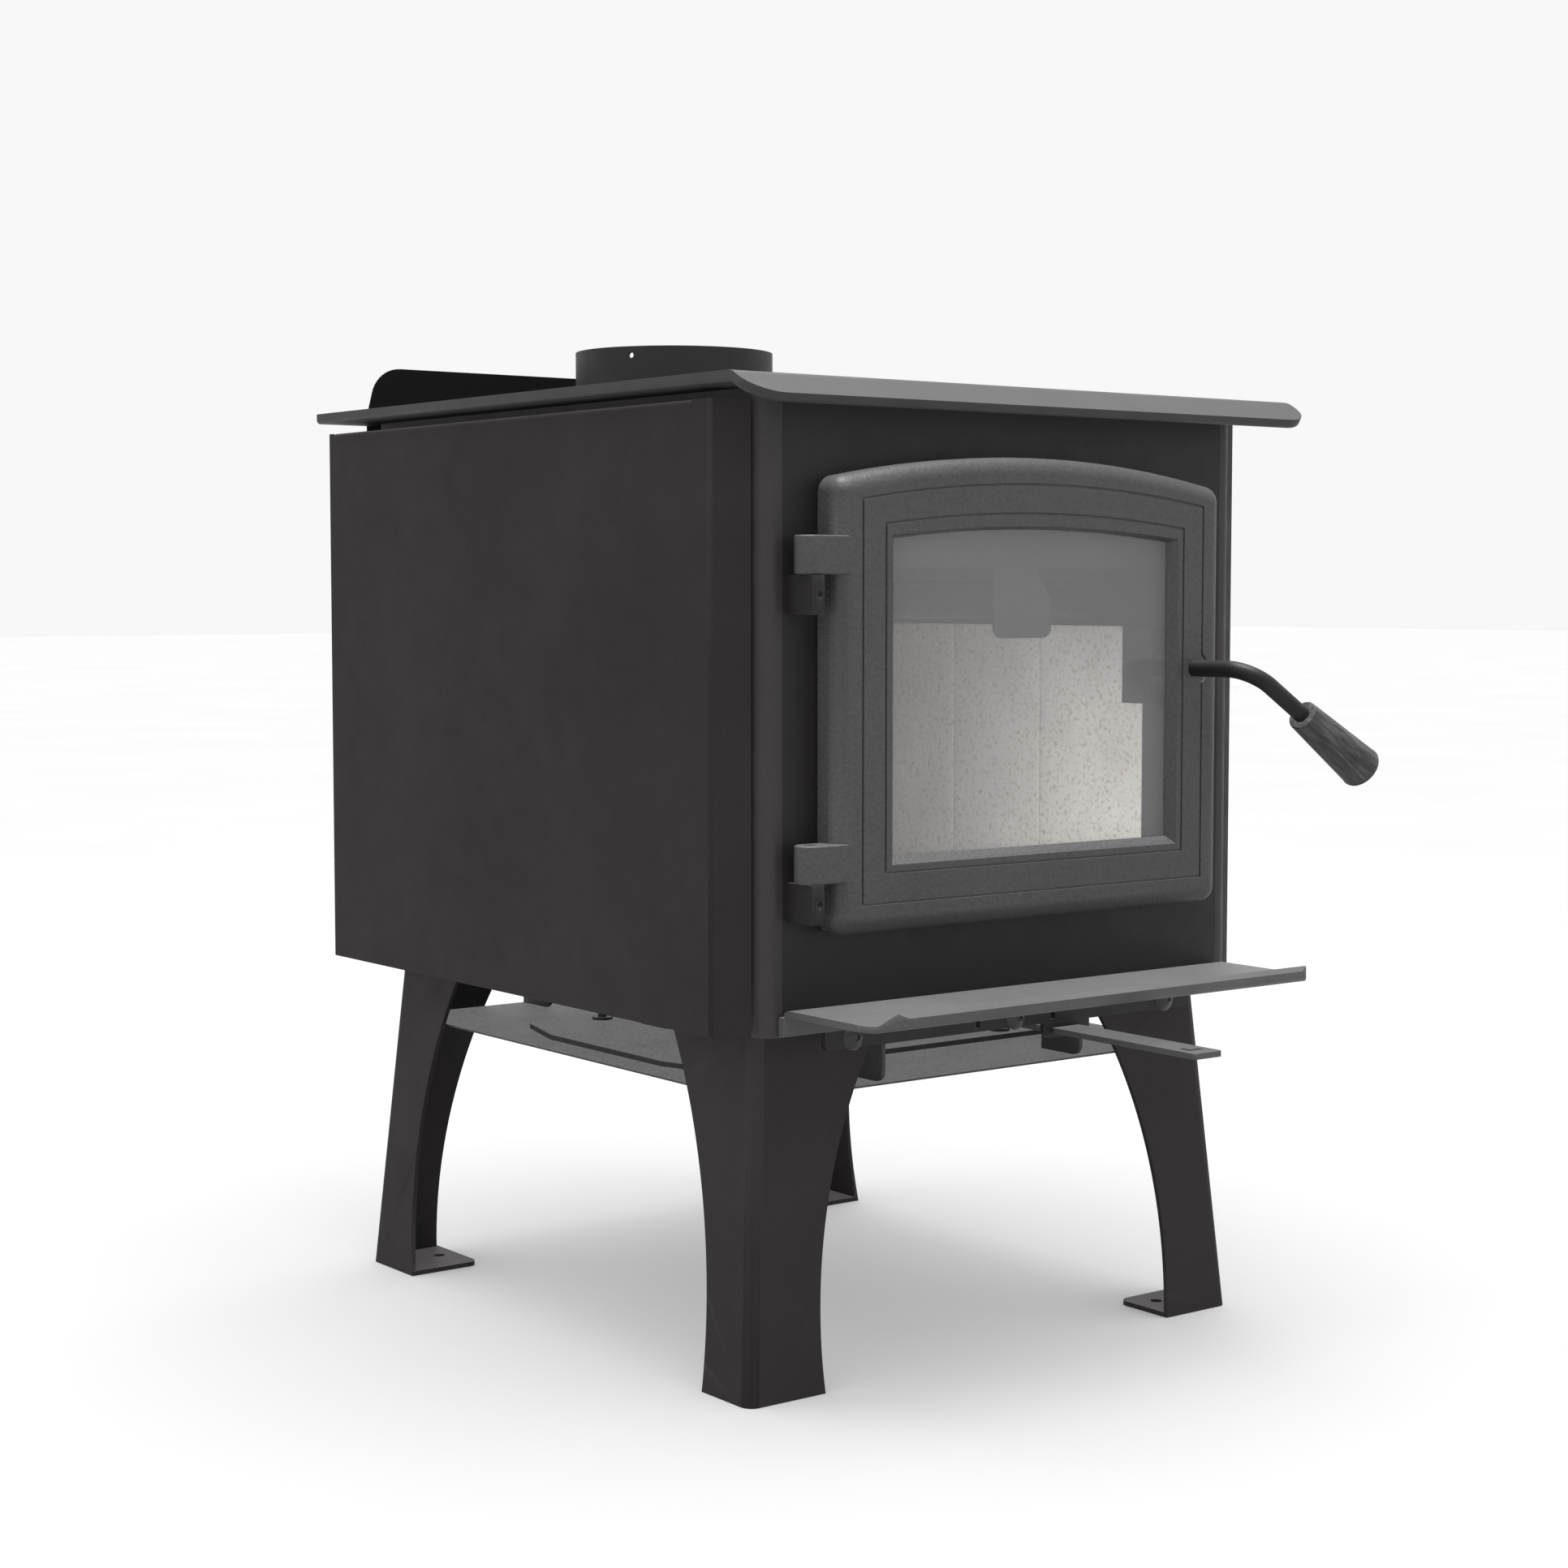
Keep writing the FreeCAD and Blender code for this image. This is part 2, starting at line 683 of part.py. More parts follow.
def edge_cutter(widths, foot, lean, place, start, length):
    """Removes what lies beyond a leg face's free edge, which follows one arc."""
    heights = (0.0, leg_waist, leg_height)
    points = []
    for width, height in zip(widths, heights):
        outer = -foot + lean * height / leg_height
        points.append(place(outer + width, height))
    beyond = 400.0
    edges = [
        Part.Arc(*points).toShape(),
        Part.makeLine(points[2], place(beyond, leg_height + 1)),
        Part.makeLine(place(beyond, leg_height + 1), place(beyond, -1)),
        Part.makeLine(place(beyond, -1), points[0]),
    ]
    wire = Part.Wire(edges)
    wire.translate(start)
    return Part.Face(wire).extrude(length)


def leg(face_widths, side_widths, foot_size):
    """Front left leg: folded L that leans outwards, with a foot and a bolting flange."""
    reach = 120.0
    path = [(-foot_x, -foot_y + reach), (-foot_x, -foot_y), (-foot_x + reach, -foot_y)]
    angle = folded_sheet(path, leg_sheet, leg_bend_radius, on_xy, Vector(0, 0, 0),
                         Vector(leg_lean[0], leg_lean[1], leg_height))
    face_edge = edge_cutter(face_widths, foot_x, leg_lean[0], on_xz,
                            Vector(0, -foot_y - 50, 0), Vector(0, 400, 0))
    side_edge = edge_cutter(side_widths, foot_y, leg_lean[1], on_yz,
                            Vector(-foot_x - 50, 0, 0), Vector(400, 0, 0))
    angle = angle.cut(face_edge).cut(side_edge)
    foot = box(-foot_x + 1, -foot_x + foot_size[0], -foot_y + 1, -foot_y + foot_size[1], 0, leg_sheet)
    corner = [edge for edge in foot.Edges
              if edge.CenterOfMass.x > -foot_x + foot_size[0] - 0.1
              and edge.CenterOfMass.y > -foot_y + foot_size[1] - 0.1]
    trim = [edge for edge in foot.Edges
            if edge.CenterOfMass.x < -foot_x + 1.1 and edge.CenterOfMass.y < -foot_y + 1.1]
    foot = foot.makeFillet(8.0, corner + trim)
    corner_x = -foot_x + leg_lean[0] + 1
    corner_y = -foot_y + leg_lean[1] + 1
    flange = polygon_prism([(corner_x + 4, corner_y), (corner_x + leg_flange_width + 18, corner_y),
                            (corner_x, corner_y + leg_flange_width + 18), (corner_x, corner_y + 4)],
                           on_xy, Vector(0, 0, leg_height - leg_sheet), Vector(0, 0, leg_sheet))
    whole = fuse([angle, foot, flange])
    hole = Vector(-foot_x + foot_hole_inset[0], -foot_y + foot_hole_inset[1], 0)
    whole = whole.cut(rod(hole - Vector(0, 0, 1), hole + Vector(0, 0, leg_sheet + 1), foot_hole_radius))
    for spot in leg_bolt_spots():
        if spot.x < 0 and spot.y < 0:
            whole = whole.cut(rod(spot - Vector(0, 0, leg_sheet + 1), spot, leg_bolt_radius))
    return whole


def leg_bolts():
    solids = []
    for spot in leg_bolt_spots():
        head_top = spot - Vector(0, 0, leg_sheet)
        shank = rod(head_top - Vector(0, 0, 1), spot + Vector(0, 0, plate), leg_bolt_radius)
        head = hex_bar(head_top - Vector(0, 0, 5.5), 13.0, 5.5, Vector(0, 0, 1))
        solids.append(fuse([shank, head]))
    return Part.makeCompound(solids)


# ---------------------------------------------------------------- ash lip and front beam
def ash_lip():
    """Folded shelf under the door: bolting flange, flat shelf and upturned front edge."""
    low = floor_z + lip_flange_drop
    high = floor_z + lip_height
    edge_y = front_y - lip_reach
    path = [(front_y, low), (front_y, high), (edge_y, high), (edge_y - lip_rise, high + lip_rise)]
    whole = folded_sheet(path, lip_sheet, lip_bend_radius, on_yz,
                         Vector(-lip_flange_half_width, 0, 0), Vector(2 * lip_flange_half_width, 0, 0))
    tip_y = edge_y - lip_rise - lip_sheet
    plan = [(-lip_half_width, tip_y), (lip_half_width, tip_y), (lip_half_width, front_y + 40),
            (-lip_half_width, front_y + 40)]
    shelf = rounded_prism(plan, lip_corner, on_xy, Vector(0, 0, low - 1), Vector(0, 0, 60))
    strip = box(-lip_flange_half_width, lip_flange_half_width, front_y - lip_sheet, front_y + 1,
                low - 1, high - lip_sheet)
    return whole.common(shelf.fuse(strip))


def beam_bolt_centres():
    return [Vector(x, front_y - lip_sheet, floor_z - beam_bolt_drop) for x in beam_bolt_x]


def front_beam():
    """Plate below the ash lip, with three lugs that its bolts screw into."""
    top = floor_z + lip_flange_drop
    low = floor_z - beam_drop
    beam = box(-beam_half_width, beam_half_width, front_y - lip_sheet, front_y, low, top)
    corners = [edge for edge in beam.Edges
               if abs(abs(edge.CenterOfMass.x) - beam_half_width) < 0.01
               and abs(edge.CenterOfMass.z - low) < 0.01]
    beam = beam.makeFillet(4.0, corners)
    lugs = []
    for x in beam_bolt_x:
        lugs.append(box(x - beam_lug[0] / 2, x + beam_lug[0] / 2, front_y, front_y + beam_lug[1],
                        low, floor_z))
    beam = fuse([beam] + lugs)
    for centre in beam_bolt_centres():
        beam = beam.cut(rod(centre, centre + Vector(0, lip_sheet + beam_lug[1] + 1, 0), beam_bolt_shank))
    for x in (-beam_slot_x, beam_slot_x):
        slot = box(x - 2, x + 2, front_y - lip_sheet - 1, front_y + 1, floor_z - 9, floor_z - 1)
        beam = beam.cut(slot)
    return beam


def beam_bolts():
    """Button-head socket bolts."""
    solids = []
    for centre in beam_bolt_centres():
        head = Part.makeSphere(beam_bolt_head * 1.25, centre + Vector(0, beam_bolt_head * 0.75, 0))
        keep = box(centre.x - 20, centre.x + 20, centre.y - 20, centre.y, centre.z - 20, centre.z + 20)
        head = head.common(keep)
        shank = rod(centre, centre + Vector(0, lip_sheet + beam_lug[1] - 1, 0), beam_bolt_shank)
        socket = hex_bar(centre - Vector(0, 10, 0), 5.0, 7.0, Vector(0, 1, 0))
        solids.append(fuse([head, shank]).cut(socket))
    return Part.makeCompound(solids)


# ---------------------------------------------------------------- air supply and control
def lever_guide():
    """Loop below the beam that the air lever slides through."""
    half = lever_width / 2
    left = lever_x - half - guide_wall
    right = lever_x + half + guide_wall
    low = lever_bottom - slide_gap - guide_bottom
    high = floor_z - beam_drop
    points = [(left, low), (right, low), (right, high), (left, high)]
    loop = polygon_prism(points, on_xz, Vector(0, front_y - lip_sheet, 0), Vector(0, lip_sheet, 0))
    corners = [edge for edge in loop.Edges
               if abs(edge.CenterOfMass.z - low) < 0.01 and abs(edge.CenterOfMass.x - lever_x) > half]
    loop = loop.makeFillet(5.0, corners)
    slot = box(lever_x - half - slide_gap, lever_x + half + slide_gap, front_y - lip_sheet - 1, front_y + 1,
               lever_bottom - slide_gap, lever_top + slide_gap)
    return loop.cut(slot)


def air_lever():
    """Flat bar with an L-shaped slot near its front end."""
    half = lever_width / 2
    bar = box(lever_x - half, lever_x + half, lever_front, lever_rear, lever_bottom, lever_top)
    nose = [edge for edge in bar.Edges
            if abs(edge.CenterOfMass.y - lever_front) < 0.01
            and abs(abs(edge.CenterOfMass.x - lever_x) - half) < 0.01]
    bar = bar.makeFillet(2.5, nose)
    slot_y = lever_front + 12
    slot = box(lever_x - 6, lever_x + 7, slot_y, slot_y + 3.5, lever_bottom - 1, lever_top + 1)
    hook = box(lever_x - 6, lever_x - 2.5, slot_y, slot_y + 10, lever_bottom - 1, lever_top + 1)
    bar = bar.cut(slot.fuse(hook))
    for spot in rivet_spots():
        bar = bar.cut(rod(spot - Vector(0, 0, 20), spot + Vector(0, 0, 20), rivet_radius))
    return bar


def rivet_spots():
    y0 = front_y + damper_start
    return [Vector(lever_x, y0 + 15, lever_top), Vector(lever_x, y0 + damper_length - 15, lever_top)]


def damper_plate():
    half = damper_width / 2
    y0 = front_y + damper_start
    damper = box(lever_x - half, lever_x + half, y0, y0 + damper_length, lever_top, damper_top)
    for spot in rivet_spots():
        damper = damper.cut(rod(spot, spot + Vector(0, 0, 20), rivet_radius))
    return damper


def damper_rivets():
    """Rivets, flush above the damper and domed below the lever."""
    solids = []
    for spot in rivet_spots():
        low = Vector(spot.x, spot.y, lever_bottom)
        shank = rod(low, Vector(spot.x, spot.y, damper_top), rivet_radius)
        head = rod(low - Vector(0, 0, 1.8), low, rivet_radius * 1.8)
        solids.append(fuse([shank, head]))
    return Part.makeCompound(solids)


def damper_guides():
    """Two angle rails under the air box that hold the damper up."""
    half = damper_width / 2 + slide_gap
    y0 = front_y + damper_start - 8
    y1 = y0 + damper_length + lever_travel + 16
    path = [(lever_x - half - 2, air_box_floor), (lever_x - half - 2, lever_top - slide_gap - 2),
            (lever_x - half + 4, lever_top - slide_gap - 2)]
    rail = folded_sheet(path, 2.0, 2.2, on_xz, Vector(0, y0, 0), Vector(0, y1 - y0, 0))
    other = rail.mirror(Vector(lever_x, 0, 0), Vector(1, 0, 0))
    return Part.makeCompound([rail, other])


def air_box():
    """Tray under the firebox floor that the damper opens and shuts."""
    half = air_box_width / 2
    y0 = front_y + beam_lug[1] + 2
    tray = box(lever_x - half, lever_x + half, y0, y0 + air_box_depth, air_box_floor, floor_z)
    inside = box(lever_x - half + air_box_sheet, lever_x + half - air_box_sheet, y0 + air_box_sheet,
                 y0 + air_box_depth - air_box_sheet, air_box_floor + air_box_sheet, floor_z + 1)
    slot_y = front_y + damper_start + damper_length + 8
    slot = box(lever_x - air_slot[0] / 2, lever_x + air_slot[0] / 2, slot_y, slot_y + air_slot[1],
               air_box_floor - 1, air_box_floor + air_box_sheet + 1)
    return tray.cut(inside).cut(slot)


def front_air_manifold():
    """Rectangular duct across the front of the firebox floor."""
    duct = hollow_box(-brick_x, brick_x, inner_front, duct_rear, inner_floor, brick_base, duct_wall)
    half = intake_hole[0] / 2
    inlet = box(lever_x - half, lever_x + half, inner_front + 11, inner_front + 11 + intake_hole[1],
                inner_floor - 1, inner_floor + duct_wall + 1)
    ends = box(-brick_x - 1, brick_x + 1, inner_front + duct_wall, duct_rear - duct_wall,
               inner_floor + duct_wall, brick_base - duct_wall)
    return duct.cut(inlet).cut(ends)


def air_riser():
    """Left upright duct from the manifold to the air wash above the door."""
    top = roof_z - riser_top_gap
    duct = hollow_box(-inner_x, -brick_x, inner_front, duct_rear, inner_floor, top, duct_wall)
    duct = duct.makeFillet(corner_radius - plate, front_corner_edges(duct))
    inlet = box(-brick_x - duct_wall - 1, -brick_x + 1, inner_front + duct_wall, duct_rear - duct_wall,
                inner_floor + duct_wall, brick_base - duct_wall)
    outlet = box(-inner_x + duct_wall, -brick_x - duct_wall, inner_front + duct_wall, duct_rear - duct_wall,
                 top - duct_wall - 1, top + 1)
    return duct.cut(inlet).cut(outlet)


def airwash_deflector():
    """Sheet behind the top of the door that turns air down over the glass, with a tab."""
    y0 = inner_front + deflector_gap
    low = door_shoulder - glass_sight[2] - deflector_low
    high = roof_z - deflector_top_gap
    width = 2 * (door_half - opening_inset - deflector_side_gap)
    path = [(y0 + sheet, low), (y0 + sheet, high), (inner_front, high)]
    hood = folded_sheet(path, sheet, 3.0, on_yz, Vector(-width / 2, 0, 0), Vector(width, 0, 0))
    x0 = deflector_tab_side - deflector_tab[0] / 2
    x1 = x0 + deflector_tab[0]
    end = low - deflector_tab[1]
    slope_x, slope_z = deflector_tab_slope
    outline = [(x0, end), (x1, end), (x1, low - slope_z), (x1 - slope_x, low), (x1 - slope_x, low + 1),
               (x0, low + 1)]
    tab = polygon_prism(outline, on_xz, Vector(0, y0, 0), Vector(0, sheet, 0))
    corners = [edge for edge in tab.Edges
               if edge.CenterOfMass.z < end + 0.1 and edge.BoundBox.YLength > sheet / 2]
    return fuse([hood, tab.makeFillet(deflector_tab_round, corners)])


def rear_air_duct():
    """Open-bottomed duct up the outside of the rear wall."""
    half = rear_duct[0] / 2
    low = floor_z + 7
    top = baffle_z + 2
    duct = box(-half, half, rear_y, rear_y + rear_duct[1], low, top)
    inside = box(-half + 2, half - 2, rear_y - 1, rear_y + rear_duct[1] - 2, low - 1, top - 2)
    return duct.cut(inside)


# ---------------------------------------------------------------- lining, tubes and baffle
def brick_row(start, end, width):
    """Limits of bricks laid from start to end, with the last one cut to fit."""
    limits = []
    here = start
    while here < end - 1:
        stop = min(here + width, end)
        if end - stop < 15:
            stop = end
        limits.append((here, stop - brick_joint))
        here = stop
    return limits


def floor_bricks():
    solids = []
    for x0, x1 in brick_row(-inner_x, inner_x, brick_width):
        for y0, y1 in brick_row(duct_rear, inner_rear, brick_length):
            solids.append(box(x0, x1, y0, y1, inner_floor, brick_base))
    return Part.makeCompound(solids)


def side_bricks():
    """Left wall lining: full bricks on end, with a narrower one second from the front."""
    solids = []
    joints = [duct_rear, duct_rear + brick_width, duct_rear + brick_width * 1.91,
              duct_rear + brick_width * 2.91, inner_rear]
    for y0, y1 in zip(joints[:-1], joints[1:]):
        solids.append(box(-inner_x, -brick_x, y0, y1 - brick_joint, brick_base, brick_top))
    return Part.makeCompound(solids)


def rear_bricks():
    solids = []
    for x0, x1 in brick_row(-brick_x, brick_x, brick_width):
        solids.append(box(x0, x1, brick_rear, inner_rear, brick_base, brick_top))
    return Part.makeCompound(solids)


def tube_rows():
    first = duct_rear + baffle_setback + 20
    last = brick_rear - 45
    step = (last - first) / (tube_count - 1)
    return [first + step * index for index in range(tube_count)]


def side_air_channel():
    """Left duct above the side bricks, with a socket for each secondary air tube."""
    duct = hollow_box(-inner_x, -brick_x, duct_rear, inner_rear, channel_z, baffle_z, duct_wall)
    middle = (channel_z + baffle_z) / 2
    for y in tube_rows():
        duct = duct.cut(rod(Vector(-brick_x - 5, y, middle), Vector(-brick_x + 5, y, middle), tube_radius))
    link = box(-brick_x - 5, -brick_x + 1, brick_rear + duct_wall, inner_rear - duct_wall,
               channel_z + duct_wall, baffle_z - duct_wall)
    return duct.cut(link)


def rear_air_channel():
    """Duct above the rear bricks that feeds both side channels."""
    duct = hollow_box(-brick_x, brick_x, brick_rear, inner_rear, channel_z, baffle_z, duct_wall)
    ends = box(-brick_x - 1, brick_x + 1, brick_rear + duct_wall, inner_rear - duct_wall,
               channel_z + duct_wall, baffle_z - duct_wall)
    port_half = rear_duct[0] / 2 - 15
    port = box(-port_half, port_half, inner_rear - 4, inner_rear + 1, channel_z + 6, baffle_z - 6)
    return duct.cut(ends).cut(port)


def secondary_air_tubes():
    """Perforated tubes across the top of the fire."""
    solids = []
    middle = (channel_z + baffle_z) / 2
    reach = brick_x + duct_wall
    for y in tube_rows():
        start = Vector(-reach, y, middle)
        end = Vector(reach, y, middle)
        tube = rod(start, end, tube_radius).cut(rod(start, end, tube_radius - tube_wall))
        for index in range(tube_hole_count):
            x = -brick_x + 25 + index * (2 * brick_x - 50) / (tube_hole_count - 1)
            jet = rod(Vector(x, y, middle), Vector(x, y - 15, middle - 9), tube_hole_radius)
            tube = tube.cut(jet)
        solids.append(tube)
    return Part.makeCompound(solids)


def baffle_boards():
    y0 = duct_rear + baffle_setback
    right = box(baffle_split / 2, inner_x - 1, y0, brick_rear - 1, baffle_z, baffle_z + baffle_thickness)
    return Part.makeCompound([right, mirror_x(right)])


def insulation_blanket():
    y0 = duct_rear + baffle_setback + 2
    z0 = baffle_z + baffle_thickness
    return box(-inner_x + 4, inner_x - 4, y0, brick_rear - 3, z0, z0 + blanket_thickness)


# ---------------------------------------------------------------- door
def frame_ring(outer, inner, y0, y1):
    """Ring along Y between two door-shaped outlines."""
    return door_shape(outer, y0, y1).cut(door_shape(inner, y0 - 1, y1 + 1))


def engraved_line(inset, ring=0.0):
    """Shallow groove parallel to the door's edge, which can turn outwards round the spindle."""
    y0 = door_front - 1
    y1 = door_front + groove_depth
    outer = door_shape(inset, y0, y1)
    inner = door_shape(inset, y0 - 1, y1 + 1, groove_width)
    if ring > 0:
        start = Vector(handle_x, y0, axle_z)
        outer = outer.fuse(rod(start, Vector(handle_x, y1, axle_z), ring))
        inner = inner.fuse(rod(start - Vector(0, 1, 0), Vector(handle_x, y1 + 1, axle_z), ring - groove_width))
    return outer.cut(inner)


def knuckle_floors():
    return [door_bottom + z for z in knuckle_z]


def door_frame():
    """Cast door: rounded rim, two engraved lines, bevelled window, two hinge knuckles."""
    slab = door_shape((0, 0, 0, door_arch), door_front, door_back)
    upright = [edge for edge in slab.Edges
               if abs(edge.Length - door_thickness) < 0.01 and edge.CenterOfMass.y > door_front + 1]
    slab = slab.makeFillet(door_corner, upright)
    rim = [edge for edge in slab.Edges if edge.BoundBox.YMax < door_front + 0.01]
    slab = slab.makeFillet(door_round, rim)
    knuckles = []
    for low in knuckle_floors():
        base = Vector(hinge_x, pin_y, low)
        barrel = rod(base, base + Vector(0, 0, knuckle_height), knuckle_radius)
        web = box(hinge_x, -door_half + door_round + 3, door_front, pin_y + knuckle_radius, low,
                  low + knuckle_height)
        knuckle = fuse([barrel, web])
        level = [edge for edge in knuckle.Edges if edge.BoundBox.ZLength < 0.01]
        knuckles.append(knuckle.makeFillet(knuckle_edge, level))
    frame = fuse([slab] + knuckles)
    recess = even_inset(recess_inset)
    frame = frame.cut(door_shape(recess, door_inner_back, door_back + 1))
    frame = frame.cut(door_shape(moved_inset(glass_sight, glass_bevel), door_front - 1, door_back + 1))
    frame = frame.cut(window_bevel())
    pocket = glass_pocket()
    frame = frame.cut(door_shape(pocket, glass_front - glass_rope, door_back + 1))
    frame = frame.cut(frame_ring(even_inset(door_rope[0]), even_inset(door_rope[1]),
                                 door_back - door_rope_depth, door_back + 1))
    frame = frame.cut(engraved_line(outer_groove, spindle_ring_radius)).cut(engraved_line(inner_groove))
    bore = rod(Vector(handle_x, door_front - 10, axle_z), Vector(handle_x, door_back + 1, axle_z),
               rod_radius + pin_clearance)
    frame = frame.cut(bore)
    for low in knuckle_floors():
        base = Vector(hinge_x, pin_y, low - 1)
        frame = frame.cut(rod(base, base + Vector(0, 0, knuckle_height + 2), pin_radius + pin_clearance))
    for spot in clip_spots():
        hole = Vector(spot.x, door_inner_back, spot.z)
        frame = frame.cut(rod(hole - Vector(0, 6, 0), hole + Vector(0, 1, 0), clip_screw_radius))
    return frame


def moved_inset(inset, change):
    """Inset values moved by one amount at each of the sides, the sill and the top."""
    return (inset[0] + change[0], inset[1] + change[1], inset[2] + change[2], inset[3])


def window_bevel():
    """Tapered mouth of the window, wider at the door's front face."""
    wires = []
    narrow = moved_inset(glass_sight, glass_bevel)
    for inset, y in ((glass_sight, door_front - 0.001), (narrow, door_front + glass_bevel_depth)):
        shape = door_shape(inset, y, y + 1)
        face = [f for f in shape.Faces if f.BoundBox.YMax < y + 0.01][0]
        wires.append(face.OuterWire)
    return Part.makeLoft(wires, True, True)


def glass_pocket(play=0.0):
    """Insets of the glass, which laps behind the window; play makes it smaller."""
    return moved_inset(glass_sight, [bevel - glass_lap + play for bevel in glass_bevel])


def door_glass():
    return door_shape(glass_pocket(0.5), glass_front, glass_back)


def glass_gasket():
    """Flat rope between the glass and the casting."""
    outer = glass_pocket(0.5)
    inner = moved_inset(outer, (8.0, 8.0, 8.0))
    return frame_ring(outer, inner, glass_front - glass_rope, glass_front)


def clip_spots():
    """Centres of the six clips that hold the glass."""
    side, bottom, top = glass_pocket()[:3]
    half = door_half - side
    low = door_bottom + bottom
    high = door_shoulder - top
    middle = (low + high) / 2
    reach = 7.0
    spots = [Vector(-half - reach, glass_back, low + 40), Vector(-half - reach, glass_back, high - 40),
             Vector(half + reach, glass_back, low + 40), Vector(half + reach, glass_back, middle + 75),
             Vector(-60, glass_back, low - reach), Vector(60, glass_back, low - reach)]
    return spots


def glass_clips():
    """Small plates screwed to the casting that press on the edge of the glass."""
    solids = []
    length, width, thickness = clip_size
    y0 = door_inner_back
    for spot in clip_spots():
        upright = abs(spot.x) > 100
        half_x_size = (length if upright else width) / 2
        half_z_size = (width if upright else length) / 2
        clip = box(spot.x - half_x_size, spot.x + half_x_size, y0, y0 + thickness,
                   spot.z - half_z_size, spot.z + half_z_size)
        clip = clip.cut(rod(Vector(spot.x, y0 - 1, spot.z), Vector(spot.x, y0 + thickness + 1, spot.z),
                            clip_screw_radius))
        solids.append(clip)
    return Part.makeCompound(solids)


def clip_screws():
    solids = []
    y0 = door_inner_back + clip_size[2]
    for spot in clip_spots():
        seat = Vector(spot.x, y0, spot.z)
        shank = rod(seat - Vector(0, clip_size[2] + 5, 0), seat + Vector(0, 1, 0), clip_screw_radius)
        head = rod(seat, seat + Vector(0, 2.4, 0), clip_screw_radius * 1.9)
        solids.append(fuse([shank, head]))
    return Part.makeCompound(solids)


def door_gasket():
    """Rope seal that stands out of the door's rear channel almost to the firebox."""
    outer = even_inset(door_rope[0] + 0.2)
    inner = even_inset(door_rope[1] - 0.2)
    return frame_ring(outer, inner, door_back - door_rope_depth, front_y - door_rope_seal_gap)


# ---------------------------------------------------------------- hinges and latch
def hinge_brackets():
    """Two plates on the firebox front that stand under the door's knuckles."""
    solids = []
    half = bracket_thickness / 2
    for low in knuckle_floors():
        top = low - hinge_gap
        bottom = top - bracket_height
        plate_part = box(hinge_x - half, hinge_x + half, pin_y - bracket_nose, front_y, bottom, top)
        nose = rod(Vector(hinge_x, pin_y, bottom), Vector(hinge_x, pin_y, top), bracket_nose)
        behind = box(hinge_x - half, hinge_x + half, pin_y, front_y, bottom, top)
        bracket = plate_part.common(nose.fuse(behind))
        pin_hole = rod(Vector(hinge_x, pin_y, bottom + 3), Vector(hinge_x, pin_y, top + 1), pin_radius)
        screw_z = (bottom + top) / 2
        screw_hole = rod(Vector(hinge_x, pin_y - 20, screw_z), Vector(hinge_x, pin_y, screw_z),
                         set_screw_radius)
        solids.append(bracket.cut(pin_hole).cut(screw_hole))
    return Part.makeCompound(solids)


def hinge_pins():
    solids = []
    for low in knuckle_floors():
        bottom = low - hinge_gap - bracket_height + 3
        solids.append(rod(Vector(hinge_x, pin_y, bottom), Vector(hinge_x, pin_y, low + knuckle_height - 3),
                          pin_radius))
    return Part.makeCompound(solids)


def hinge_set_screws():
    """Socket screws that lock the pins, sunk in the brackets' noses."""
    solids = []
    for low in knuckle_floors():
        screw_z = low - hinge_gap - bracket_height / 2
        start = Vector(hinge_x, pin_y - bracket_nose + 1.5, screw_z)
        screw = rod(start, Vector(hinge_x, pin_y, screw_z), set_screw_radius)
        pin = rod(Vector(hinge_x, pin_y, screw_z - 10), Vector(hinge_x, pin_y, screw_z + 10), pin_radius)
        socket = hex_bar(start - Vector(0, 1, 0), 2.5, 2.0, Vector(0, 1, 0))
        solids.append(screw.cut(pin).cut(socket))
    return Part.makeCompound(solids)


def latch_box():
    """Box on the right riser, open at the front, that keeps embers off the latch finger."""
    x0 = handle_x - latch_box_side
    low = axle_z - latch_box_low
    high = axle_z + latch_box_high
    back = inner_front + latch_box_depth
    wall = latch_box_wall
    inside = box(x0 + wall, brick_x + 1, inner_front - 1, back - wall, low + wall, high - wall)
    return box(x0, brick_x, inner_front, back, low, high).cut(inside)


def bend_corner():
    """Corner of the rod's bend, and the direction from it along the grip."""
    slope = math.radians(rod_drop_angle)
    corner = Vector(handle_x, door_front - rod_straight, axle_z)
    return corner, Vector(math.cos(slope), 0, -math.sin(slope))


def handle_rod():
    """Spindle through the door, bent to the right towards the grip."""
    corner, outward = bend_corner()
    start = Vector(handle_x, finger_back + nut_length - 1, axle_z)
    bend_start = corner + Vector(0, rod_bend_radius, 0)
    bend_end = corner + outward * rod_bend_radius
    centre = bend_start + outward * rod_bend_radius
    middle = centre + (Vector(0, -1, 0) - outward).normalize() * rod_bend_radius
    finish = corner + outward * (grip_start + grip_length - grip_bore_end)
    path = Part.Wire([
        Part.makeLine(start, bend_start),
        Part.Arc(bend_start, middle, bend_end).toShape(),
        Part.makeLine(bend_end, finish),
    ])
    section = Part.Wire(Part.makeCircle(rod_radius, start, Vector(0, 1, 0)))
    return path.makePipeShell([section], True, False)


def handle_grip():
    """Tapered wooden grip, thicker at its free end."""
    corner, outward = bend_corner()
    start = corner + outward * grip_start
    grip = Part.makeCone(grip_radius_small, grip_radius_large, grip_length, start, outward)
    end = start + outward * grip_length
    round_edges = [edge for edge in grip.Edges if (edge.CenterOfMass - end).Length < 1.0]
    grip = grip.makeFillet(grip_end_round, round_edges)
    bore = rod(start - outward * 1.0, start + outward * (grip_length - grip_bore_end), rod_radius)
    return grip.cut(bore)


